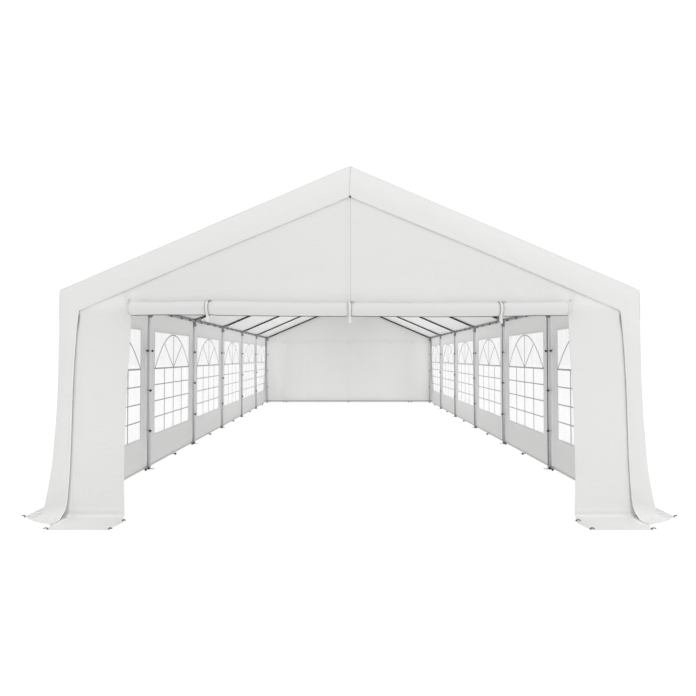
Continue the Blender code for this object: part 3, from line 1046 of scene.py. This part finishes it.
def makeSideWall(side, s):
    half, frameWide = sideWall["seam"], sideWall["frame"]
    step = sheetCloth["stitch"]
    stops, at = [], -sideWall["end"]
    for f, m in zip(frameYs, [*bayMiddles, None]):
        if f - half > at + 0.01:
            stops.append((at, f - half, 3, 0))
            at = f - half
        stops.append((at, min(f + half, sideWall["end"]), 2, 1))
        at = f + half
        if m is not None:
            w, outer = windowHalf, windowHalf + frameWide
            stops += [
                (at, m - outer - step, 3, 0), (m - outer - step, m - outer, 1, 0), (m - outer, m - w, 1, 0),
                (m - w, m + w, 16, 0), (m + w, m + outer, 1, 0), (m + outer, m + outer + step, 1, 0),
            ]
            at = m + outer + step
    low, high = windowLowZ - frameWide, windowHighZ + frameWide
    foot = groundLift + sideWall["bend"] + sideWall["tape"]
    vs = runs(
        *footRuns(sideWall["bend"], skirtX - wallX - sideWall["lap"], sideWall["hem"], sideWall["tape"]),
        (foot, low - step, 8, 0), (low - step, low, 1, 0), (low, windowLowZ, 1, 0),
        (windowLowZ, windowHighZ, 20, 0), (windowHighZ, high, 1, 0), (high, high + step, 1, 0),
        (high + step, wallTop - 0.03, 5, 0), (wallTop - 0.03, wallTop, 1, 1),
    )

    def keep(y, v):
        return max(fromPane(y, v)) > 0

    def weigh(y, v, hem, seam):
        away = max(fromPane(y, v))
        if away < frameWide + 1e-4:
            return 1.0, 0.12 if abs(away - frameWide) < 1e-4 else 0.0
        # the doubled band at the foot is drawn dark: painted contact shadow at the ground
        if foot - sideWall["tape"] - 1e-4 < v < foot + 1e-4:
            return hem, 0.8
        # painted light towards the top, plus needle lines
        pale = sideWall["topPaintedLight"] * smooth(1.8, 2.2, v) + 0.15 * seam
        # painted light beside each post
        if min(abs(y - f) for f in frameYs) < half + 2 * step:
            pale += sideWall["postPaintedLight"]
        return hem, pale

    place = lambda y, v: sideWallPlace(y, v, s)
    ys = runs(*stops)
    piece = clothSheet(f"{side}Wall", ys, vs, place, sideCloth, keep=keep, weigh=weigh)
    carry(piece, "wall_cloth", f"{side}_wall", f"{side}_skirt")
    flat = (ys[-1][0] - ys[0][0], vs[-1][0] - vs[0][0])
    cutOut = len(bayMiddles) * 2 * windowHalf * (windowHighZ - windowLowZ)
    flat[0] * flat[1] - cutOut


def makeWindows(side, s):
    # Clear film, one pane to a bay, welded behind the openings
    reach = film["margin"] - 0.012
    stops = []
    for m in bayMiddles:
        w = windowHalf + reach
        if stops:
            stops.append((stops[-1][1], m - w, 1, 0))
        stops.append((m - w, m + w, 18, 0))
    ys = runs(*stops)
    zs = runs((windowLowZ - reach, windowHighZ + reach, 20, 0))

    def place(y, z):
        slack = film["slack"] * wave(y * 2.5, z * 1.5, 51.0 + s)
        return s * (abs(sideWallPlace(y, z, s)[0]) + film["lap"] + slack), y, z

    keep = lambda y, z: fromPane(y, z)[0] < reach
    piece = clothSheet(f"{side}WindowFilm", ys, zs, place, clearFilm, keep=keep)
    piece.modifiers[0].thickness = film["thickness"]
    carry(piece, "window_film", f"{side}_window_film")
    wide, tall = 2 * (windowHalf + reach), zs[-1][0] - zs[0][0]
    flat = (ys[-1][0] - ys[0][0], tall)
    area = len(bayMiddles) * wide * tall


for side, s in sides.items():
    makeSideWall(side, s)
    makeWindows(side, s)
print("side walls and windows hung")

windowBars = {
    "bar": 0.016,
    "upright": 0.022,
    "arch": 0.017,
    "transom": 0.023,
    "transomShare": 0.640,  # height of the thick bar between sill and head
    "rows": 4,
    "columns": 4,
    "spokeAngle": 45.0,
    "thickness": 0.0022,
    "headGap": 0.012,  # between the arch and the window's head
    "lap": 0.0045,  # outside the wall's cloth
}


def windowLattice(s):
    # Bars of one window about its middle, on the plane of the wall: (path, width, share of the thickness)
    w, low = windowHalf, windowLowZ
    middle = low + (windowHighZ - low) * windowBars["transomShare"]
    rise = windowHighZ - windowBars["headGap"] - middle
    rows, columns, arch = windowBars["rows"], windowBars["columns"], windowBars["arch"]
    bars = [([(-w, middle), (w, middle)], windowBars["transom"], 1.0)]
    for i in range(1, rows):
        z = low + i * (middle - low) / rows
        bars.append(([(-w, z), (w, z)], windowBars["bar"], 0.9))
    for i in range(1, columns):
        y = -w + 2 * w * i / columns
        bars.append(([(y, low), (y, middle)], windowBars["upright"], 0.8))
    bars.append(([(-w * c, middle + rise * (1 - c**2)) for c, _ in around(41, 0.0, math.pi)], arch, 1.0))
    slant = math.tan(math.radians(windowBars["spokeAngle"]))
    # where a spoke of this slope meets the parabola z = rise * (1 - (y / w) ** 2)
    reach = (-slant + math.sqrt(slant**2 + 4 * rise**2 / w**2)) * w**2 / (2 * rise)
    for end in ((0, rise), (-reach, slant * reach), (reach, slant * reach)):
        bars.append(([(0, middle), (end[0], middle + end[1])], arch, 0.8))
    t = windowBars["thickness"]
    parts = [ribbon([(0, *p) for p in path], wide, t * share, (s, 0, 0)) for path, wide, share in bars]
    return joined("lattice", parts)


for side, s in sides.items():
    spots = [(s * (wallX + windowBars["lap"]), m, 0) for m in bayMiddles]
    scatter(f"{side}WindowBars", windowLattice(s), spots, barVinyl, "wall_cloth")
print("window bars welded on")

# Steel frame
tubeWork = {
    "sides": 24,
    "swage": 0.0165,
    "collar": 0.0215,
    "collarTop": 0.05,
    "plate": 0.005,
    "joint": 1.15,  # of a post's two lengths
    "rafterInset": 0.025,  # of a rafter's ends from the rails' axes
    "socket": 0.0245,
    "corner": 0.008,  # radius at the corners of a foot plate
    "pegHole": 0.006,
    # marks: of the pale plate, of the collar, and of the post inside it
    "plateMark": -0.25,
    "collarMark": 0.45,
    "lowMark": 0.4,
}


def swagedProfile(length, joint):
    # A tube in two lengths, the upper pushed into the lower
    r, n = tubeRadius, tubeWork["swage"]
    return [
        (0.0, r - 0.001), (0.001, r), (joint - 0.001, r), (joint, r - 0.001), (joint + 0.0005, n),
        (joint + 0.006, n), (joint + 0.014, r), (length - 0.001, r), (length, r - 0.001),
    ]


pegHoles = ((-0.012, -0.031), (0.045, 0.012))  # from the post; outward is minus in x


def plateMesh(s):
    # Foot plate about its post, with two peg holes
    r, hole = tubeWork["corner"], tubeWork["pegHole"]
    inner, outer = legBox[0].x - postX + r, legBox[1].x - postX - r
    wide = (legBox[1].y - legBox[0].y) / 2 - r
    curve = bpy.data.curves.new("plate", "CURVE")
    curve.dimensions, curve.fill_mode, curve.extrude = "2D", "BOTH", tubeWork["plate"] / 2 - 0.0006
    curve.bevel_depth, curve.bevel_resolution = 0.0006, 1
    outline = []
    for i, (x, y) in enumerate(((outer, wide), (inner, wide), (inner, -wide), (outer, -wide))):
        turn = i * math.pi / 2
        outline += [(s * (x + r * c), y + r * k) for c, k in around(5, turn, turn + math.pi / 2)]
    holes = [[(s * -x + hole * c, y + hole * k) for c, k in around(16)] for x, y in pegHoles]
    for loop in [outline, *holes]:
        spline = curve.splines.new("POLY")
        spline.points.add(len(loop) - 1)
        for point, (x, y) in zip(spline.points, loop):
            point.co = (x, y, 0, 1)
        spline.use_cyclic_u = True
    made = linked("plate", curve)
    mesh = settled(made)
    bpy.data.objects.remove(made)
    points = [Vector((v.co.x, v.co.y, v.co.z + tubeWork["plate"] / 2)) for v in mesh.vertices]
    return points, [list(p.vertices) for p in mesh.polygons]


def legMesh(s):
    r, high, plate = tubeWork["collar"], tubeWork["collarTop"], tubeWork["plate"]
    collar = [(0.0, r + 0.003), (0.004, r + 0.0005), (0.006, r), (high - 0.001, r), (high, r - 0.001)]
    start = 0.008
    profile = swagedProfile(eaveAxisZ - 0.02 - start, tubeWork["joint"])
    mesh = joined("leg", [
        plateMesh(s),
        turned((0, 0, plate - 0.0005), (0, 0, 1), collar, tubeWork["sides"]),
        turned((0, 0, start), (0, 0, 1), profile, tubeWork["sides"]),
    ])
    shadeLine = mesh.attributes.new("seam", "FLOAT", "POINT")
    for v, mark in zip(mesh.vertices, shadeLine.data):
        # painted shade runs up the post's left side, as if lit from the right
        away = math.hypot(v.co.x, v.co.y)
        if v.co.z <= plate:
            mark.value = tubeWork["plateMark"]
        elif away > tubeRadius + 0.001:
            mark.value = tubeWork["collarMark"]
        else:
            low = tubeWork["lowMark"] if v.co.z < high else 0.0
            mark.value = max(smooth(0.45, 0.80, -v.co.x / away), low)
    return mesh


def makeFrame():
    for side, s in sides.items():
        legs, rafters = [[f"{side}_{kind}_{i}" for i in range(1, 8)] for kind in ("leg", "rafter")]
        posts = [(s * postX, y, 0) for y in frameYs]
        scatter(f"{side}Legs", legMesh(s), posts, postSteel, "frame_steel", *legs)
        foot, head = Vector((s * postX, 0, eaveAxisZ)), Vector((0, 0, ridgeAxisZ))
        up = (head - foot).normalized()
        inset = tubeWork["rafterInset"]
        length = (head - foot).length - 2 * inset
        profile = swagedProfile(length, length / 2)
        rafter = joined("rafter", [turned(foot + up * inset, head, profile, tubeWork["sides"])])
        scatter(f"{side}Rafters", rafter, [(0, y, 0) for y in frameYs], darkSteel, "frame_steel", *rafters)
    rails = {
        "leftEaveRail": (-postX, eaveAxisZ, "left_eave_rail"),
        "rightEaveRail": (postX, eaveAxisZ, "right_eave_rail"),
        "ridgeRail": (0.0, ridgeAxisZ, "ridge_rail"),
    }
    r = tubeRadius
    profile = [(0.0, r - 0.001), (0.001, r), (2 * railReach - 0.001, r), (2 * railReach, r - 0.001)]
    for name, (x, z, node) in rails.items():
        mesh = joined(name, [turned((x, -railReach, z), (x, railReach, z), profile, tubeWork["sides"])])
        carry(newPiece(name, mesh, railSteel), "frame_steel", node)


socketReach = {"down": 0.11, "uphill": 0.13, "along": 0.09}


def sleeve(direction, length):
    # One round socket of a fitting, with a rolled lip
    r = tubeWork["socket"]
    profile = [
        (0.0, r), (length - 0.008, r), (length - 0.006, r + 0.0012), (length - 0.001, r + 0.0012),
        (length, r + 0.0002), (length, tubeRadius + 0.0004), (length - 0.012, tubeRadius + 0.0004),
    ]
    return turned((0, 0, 0), direction, profile, 20)


def makeFittings():
    kinds = {"front": [frameYs[0]], "middle": frameYs[1:-1], "back": [frameYs[-1]]}
    endRoom = railReach - abs(frameYs[0])
    uphill = socketReach["uphill"]
    for kind, ys in kinds.items():
        reachLow = endRoom if kind == "front" else socketReach["along"]
        reachHigh = endRoom if kind == "back" else socketReach["along"]
        rail = [sleeve((0, -1, 0), reachLow), sleeve((0, 1, 0), reachHigh)]
        for side, s in sides.items():
            rise = sleeve((-s * math.cos(pitch), 0, math.sin(pitch)), uphill)
            mesh = united("eaveFitting", [sleeve((0, 0, -1), socketReach["down"]), rise, *rail])
            spots = [(s * postX, y, eaveAxisZ) for y in ys]
            scatter(f"{side}EaveFittings_{kind}", mesh, spots, railSteel, "frame_steel")
        falls = [sleeve((s * math.cos(pitch), 0, -math.sin(pitch)), uphill) for s in sides.values()]
        mesh, spots = united("ridgeFitting", [*falls, *rail]), [(0, y, ridgeAxisZ) for y in ys]
        scatter(f"ridgeFittings_{kind}", mesh, spots, railSteel, "frame_steel")


makeFrame()
makeFittings()
print("steel frame stood up")


def boltMesh():
    # A wing bolt, its shank along -z
    shank = [(0, 0.004), (0.006, 0.004), (0.0065, 0.007), (0.012, 0.006)]
    wings = [(-0.013, 0, 0.018), (-0.006, 0, 0.011), (0.006, 0, 0.011), (0.013, 0, 0.018)]
    parts = [turned((0, 0, -0.004), (0, 0, 1), shank, 10), ribbon(wings, 0.003, 0.005, (0, 1, 0))]
    return joined("bolt", parts)


def makeBolts():
    spots = []
    r, inset = tubeWork["socket"], 0.03  # of a bolt from its socket's mouth
    uphillX, uphillZ = math.cos(pitch), math.sin(pitch)
    far = socketReach["uphill"] - inset
    for y in frameYs:
        for s in sides.values():
            inward, below = (0, -s * math.pi / 2, 0), (0, math.pi + s * pitch, 0)
            spots.append(((s * (postX - r), y, eaveAxisZ - socketReach["down"] + inset), inward))
            normal = Vector((-s * uphillZ, 0, -uphillX)) * r
            low = Vector((s * (postX - uphillX * far), y, eaveAxisZ + uphillZ * far))
            high = Vector((s * uphillX * far, y, ridgeAxisZ - uphillZ * far))
            spots += [(low + normal, below), (high + normal, below)]
            for k in (-1, 1):
                beside = y + k * (socketReach["along"] - inset)
                if abs(beside) < abs(frameYs[0]):
                    spots.append(((s * (postX - r), beside, eaveAxisZ), inward))
                    if s > 0:
                        spots.append(((0, beside, ridgeAxisZ - r), (math.pi, 0, 0)))
    scatter("fittingBolts", boltMesh(), spots, pegSteel, "frame_steel")


makeBolts()

# Elastic loops with a ball hold the walls to the posts and rails
elastic = {
    "ball": 0.0175,
    "railBall": 0.0135,
    "peakBall": 0.0105,
    "neck": 0.0028,
    "cord": 0.0022,
    "yoke": 0.085,  # from a post to the eyelets of its yoke
    "wall": -0.034,  # a loop's far end, where it goes through the wall
    "clear": 0.002,  # between a ball and its tube
    "ground": 0.001,  # between a ball and the ground
    "footBalls": ((0.008, 0.040), (0.002, 0.12)),  # inwards of a post and in front of it
    # bearing of a ball below or in front of its tube, from straight inwards, and how much it varies
    "postBearing": (0.9, 0.5),
    "railBearing": (0.6, 0.35),
    "postHeights": (0.56, 1.15, 1.73),
    "railShares": (0.16, 0.38, 0.62, 0.84),
    # places in x along the back wall, on the ground and at its hem
    "backFoot": (-2.33, -2.23, 0.0, 2.17, 2.27),
    "backHem": (-2.30, -1.51, 0.0, 1.51, 2.32),
}


def ballMesh(r):
    profile = [(r - r * c, max(r * s, elastic["neck"])) for c, s in around(9, 0.18, math.pi - 0.18)]
    return joined("ball", [turned((0, 0, -r), (0, 0, 1), profile, 14)])


def loopMesh():
    # A loop of cord round a tube that stands along z: out past the ball's neck and back to the wall
    reach, far = tubeRadius + elastic["cord"], elastic["wall"]
    path = [(reach * c, reach * s, 0.004 * c * s) for c, s in around(22, -2.5, 2.5)]
    path += [(far, 0.004, 0.0), (far, -0.004, 0.0)]
    return joined("loop", [tube(path, elastic["cord"], 6, closed=True)])


def yokeMesh():
    # A straight cord across the front of a post, from one eyelet in the wall to the other
    reach, back, wide = tubeRadius + elastic["cord"], elastic["ball"] - tubeRadius, elastic["yoke"]
    path = [(back, -wide, 0.0), (back + 0.004, 0.012 - wide, 0.0)]
    path += [(reach * c, reach * s, 0.0) for c, s in around(7, -0.5, 0.5)]
    path += [(back + 0.004, wide - 0.012, 0.0), (back, wide, 0.0)]
    return joined("yoke", [tube(path, elastic["cord"], 6)])


def makeElastics():
    balls, railBalls, loops, yokes = [], [], [], []
    r = elastic["ball"]
    clear, low = tubeRadius + elastic["clear"], r + elastic["ground"]
    for s in sides.values():
        towardWall = (0, 0, math.pi) if s > 0 else (0, 0, 0)
        for n, y in enumerate(frameYs):
            for h, z in enumerate(elastic["postHeights"]):
                if h == 2 and n % 2 == 1:
                    yokes.append(((s * postX, y, z), towardWall))
                    for k in (-1, 1):
                        spot = (s * (postX + tubeRadius - r), y + k * elastic["yoke"], z)
                        balls.append((spot, (0, s * math.pi / 2, 0)))
                else:
                    loops.append(((s * postX, y, z), towardWall))
                    mean, varies = elastic["postBearing"]
                    a = mean + varies * wave(y, z, 62.0)
                    spot = (s * (postX - (clear + r) * math.cos(a)), y - (clear + r) * math.sin(a), z)
                    balls.append((spot, (1.2, 0, s * (math.pi / 2 - a))))
        for y in frameYs[1:]:
            balls += [(s * (postX - inward), y - ahead, low) for inward, ahead in elastic["footBalls"]]
        balls += [(s * (wallX - 0.04), m, low) for m in bayMiddles]
        for m in bayMiddles:
            for i, share in enumerate(elastic["railShares"]):
                y = m + (share - 0.5) * bayLength
                mean, varies = elastic["railBearing"]
                below = mean + varies * wave(m, share, 61.0)
                off = clear + elastic["railBall"]
                spot = (s * (postX - off * math.cos(below)), y, eaveAxisZ - off * math.sin(below))
                railBalls.append((spot, (0, 0.8, 0.2 * i)))
                loops.append(((s * postX, y, eaveAxisZ), (math.pi / 2, 0 if s < 0 else math.pi, 0)))
    balls += [(x, endWallY - 0.03, low) for x in elastic["backFoot"]]
    # a small ball under the middle of each gable's band, and a row at the back wall's hem
    peakZ, hemZ = ridgeZ - border["band"] - border["peak"], endWall["eaveHem"][1] - endWall["hemDepth"]
    facing = (math.pi / 2, 0, 0)
    peaks = [((0.006, e * (coverY + 0.004), peakZ), facing) for e in ends.values()]
    peaks += [((x, endWallY - 0.012, hemZ), facing) for x in elastic["backHem"]]
    scatter("elasticBalls", ballMesh(r), balls, blackKnob, "frame_steel")
    scatter("railBalls", ballMesh(elastic["railBall"]), railBalls, blackKnob, "frame_steel")
    scatter("peakBalls", ballMesh(elastic["peakBall"]), peaks, blackKnob, "roof_cloth")
    scatter("elasticLoops", loopMesh(), loops, elasticCord, "wall_cloth")
    scatter("elasticYokes", yokeMesh(), yokes, elasticCord, "wall_cloth")


makeElastics()
print("elastic ties looped")

# Pegs and eyelets along the skirts and through the foot plates
peg = {
    "rod": 0.0048,
    "stand": 0.020,
    "bend": 0.011,
    "hook": 0.034,
    "eyelet": 0.011,
    "eyeletRim": 0.0028,
    "inset": 0.018,  # from the skirts' edges
    "cornerInset": 0.012,
    "ringLift": 0.008,  # an eyelet's height
    # through the front and back skirts on each side of the middle; the last two are at the front alone
    "skirt": ((2.868, skirtY - 0.012), (2.285, skirtY - 0.012), (2.262, skirtY - 0.235)),
    "back": (0.5, 1.2, 1.9),
}


def pegMesh():
    r, stand, hook = peg["bend"], peg["stand"], peg["hook"]
    path = [(0, 0, 0.0), (0, 0, stand - r)]
    path += [(r - r * c, 0, stand - r + r * s) for c, s in around(5, 0.3, math.pi / 2)]
    path += [(hook - 0.004, 0, stand - 0.001), (hook, 0, stand - 0.007)]
    return joined("peg", [tube(path, peg["rod"], 8)])


def eyeletMesh():
    r = peg["eyelet"]
    rim = [(r * c, r * s, 0) for c, s in around(20)]
    return joined("eyelet", [tube(rim, peg["eyeletRim"], 6, closed=True)])


def makePegs():
    outwards = lambda s, a: (0, 0, a if s > 0 else math.pi - a)
    spots = []
    for s in sides.values():
        for e in ends.values():
            inset = peg["cornerInset"]
            spots.append(((s * (skirtX - inset), e * (coverY + inset), 0), outwards(s, 0.2)))
            for x, y in peg["skirt"][: 3 if e < 0 else 1]:
                outer = s < 0 and x == peg["skirt"][0][0]
                spots.append(((s * x, e * y, 0), (0, 0, math.pi + 0.3 if outer else -0.3)))
            if e > 0:
                spots += [((s * x, skirtY - peg["inset"], 0), (0, 0, 0.4)) for x in peg["back"]]
        for y in np.linspace(-5.0, 5.0, 11):
            spots.append(((s * (skirtX - peg["inset"]), y, 0), outwards(s, 0.3)))
    rings = [(x, y, peg["ringLift"]) for (x, y, _), _ in spots]
    hx, hy = pegHoles[0]
    for s in sides.values():
        spots += [((s * (postX - hx), y + hy, 0), (0, 0, -math.pi / 2 + s * 0.15)) for y in frameYs]
        spots += [((s * (wallX - 0.022), m, 0), outwards(s, 0)) for m in bayMiddles]
    scatter("groundPegs", pegMesh(), spots, pegSteel, "frame_steel")
    scatter("skirtEyelets", eyeletMesh(), rings, eyeletMetal, "frame_steel")


makePegs()
print("pegs set")

# Door: wound from its lower edge, hanging under the gable, with three ties
doorRoll = {
    "core": 0.012,
    "turnGap": 0.0083,
    "lift": 0.062,  # cloth from the roll up to its seam on the gable
    "ties": (-1.44, 0.0, 1.53),
    "pinch": 0.006,
    "droop": 0.014,  # how much lower the middle hangs
    "cloth": 0.0026,
    "weltAndShade": 0.003,
    "cord": 0.0018,
    "strap": 0.028,
    "strapThickness": 0.0028,
    "tail": 0.075,
    "loop": 0.013,
}
rollY = (rollBox[0].y + rollBox[1].y) / 2
rollZ = (rollBox[0].z + rollBox[1].z) / 2
rollRadius = (rollBox[1].z - rollBox[0].z) / 2 - 0.004
rollTurn = (rollRadius - doorRoll["core"]) / doorRoll["turnGap"] * 2 * math.pi


def rollPlace(x, a):
    # a is the angle wound; the outer end leaves the roll at its back and climbs the gable
    tie = min(abs(x - t) for t in doorRoll["ties"])
    pinch = doorRoll["pinch"] * math.exp(-((tie / 0.05) ** 2))
    sag = 0.004 * smooth(0.0, 0.7, tie) + doorRoll["droop"] * smooth(-1.3, 0.0, x) * (1 - smooth(1.4, 2.3, x))
    soft = 0.005 * wave(x * 1.3, 0.0, 71.0) + 0.0025 * wave(x * 5.0, 0.3, 72.0)
    if a <= rollTurn:
        r = doorRoll["core"] + doorRoll["turnGap"] * a / (2 * math.pi)
        share = r / rollRadius
        lobe = 0.0025 * wave(x * 2.0, math.cos(a), 73.0) + 0.002 * wave(x * 3.0, math.sin(a), 74.0)
        r += (soft + lobe - pinch) * share
        angle = rollTurn - a  # measured from the back of the roll
        y, z = rollY + r * math.cos(angle), rollZ - sag * share - r * math.sin(angle)
    else:
        y = rollY + rollRadius + soft - pinch
        z = rollZ - sag + (a - rollTurn) * rollRadius
    return x, min(y, -endWallY - 0.009), z


def makeRoll():
    lift = doorRoll["lift"] / rollRadius
    wound = runs((0.0, rollTurn, int(rollTurn / 0.285), 0), (rollTurn, rollTurn + lift, 2, 0))
    low, high = rollBox[0].x, rollBox[1].x
    xs = runs((low, low + 0.03, 1, 1), (low + 0.03, high - 0.03, 110, 0), (high - 0.03, high, 1, 1))
    mean = (doorRoll["core"] + rollRadius) / 2
    # painted shade makes it darker than the gable; the needle line at its right end alone
    weigh = lambda x, a, hem, seam: (hem, 0.08 + (seam if x > 0 else 0.0))
    flatPlace = lambda x, a: (x, a * mean)
    piece = clothSheet("doorRoll", xs, wound, rollPlace, wallCloth, weigh=weigh, flatPlace=flatPlace)
    piece.modifiers[0].thickness = doorRoll["cloth"]
    carry(piece, "wall_cloth", "door_roll")
    extras = [*makeTies(), makeWeltAndShade()]


def tieMesh():
    # Strap round the roll, and its two tails hanging from a knot underneath
    wide, thick = doorRoll["strap"], doorRoll["strapThickness"]
    reach = rollRadius - doorRoll["pinch"] + 0.004
    rings = []
    for c, s in around(40):
        corners = [(a * wide / 2, reach + thick * out) for a, out in ((-1, 0), (1, 0), (1, 1), (-1, 1))]
        rings.append([(x, rollY + r * c, rollZ + r * s) for x, r in corners])
    knotY, knotZ = rollY - reach * 0.45, rollZ - reach * 0.93
    knot = [(0.012 * c, knotY, knotZ - 0.002 + 0.004 * s) for c, s in around(12)]
    parts = [skinned(rings, closed=True), tube(knot, 0.0062, 8, closed=True)]
    for lean, share, behind in ((0.006, 1.0, 0.0), (-0.004, 0.72, 0.005)):
        tail = []
        for t in np.linspace(0, 1, 10):
            y, drop = knotY + behind + 0.006 * math.sin(t * 3), 0.004 + doorRoll["tail"] * share * t
            tail.append((lean * math.sin(t * 2.4), y, knotZ - drop))
        parts.append(ribbon(tail, wide * 0.86, thick * 0.8, (0, 1, 0)))
    return joined("tie", parts)


def cordMesh():
    # Dark elastic on both sides of the strap, its slack looped up on the gable
    reach, r, edge = rollRadius - doorRoll["pinch"] + 0.008, doorRoll["loop"], doorRoll["strap"] / 2
    paths = []
    for x in (-edge - 0.002, edge + 0.002):
        paths.append([(x, rollY + reach * c, rollZ + reach * s) for c, s in around(48)])
    slackY, slackZ = rollY - reach * 0.5, rollZ + reach * 0.9
    paths.append([(edge + r + r * 1.6 * c, slackY, slackZ + 0.5 * r * s) for c, s in around(24)])
    return joined("cord", [tube(path, doorRoll["cord"], 6, closed=True) for path in paths])


def makeWeltAndShade():
    # Dark welt along the door's hem, seen along the underside of the roll; it also stands in as painted
    # shadow beneath the roll
    path = []
    for x in np.linspace(rollBox[0].x + 0.01, rollBox[1].x - 0.01, 120):
        _, y, z = rollPlace(float(x), rollTurn - math.pi / 2 - 0.10)
        path.append((float(x), y, z - doorRoll["weltAndShade"] * 0.8))
    mesh = joined("weltAndShade", [tube(path, doorRoll["weltAndShade"], 8)])
    return carry(newPiece("doorWelt", mesh, elasticCord), "wall_cloth")


def makeTies():
    spots = []
    for x in doorRoll["ties"]:
        low = rollPlace(x, rollTurn - math.pi / 2)[2]
        spots.append((x, 0, low - (rollZ - rollRadius + doorRoll["pinch"])))
    cords = scatter("tieCords", cordMesh(), spots, tieCord, "wall_cloth")
    return [cords, scatter("rollTies", tieMesh(), spots, tieWebbing, "wall_cloth")]


makeRoll()
print("door rolled and tied")
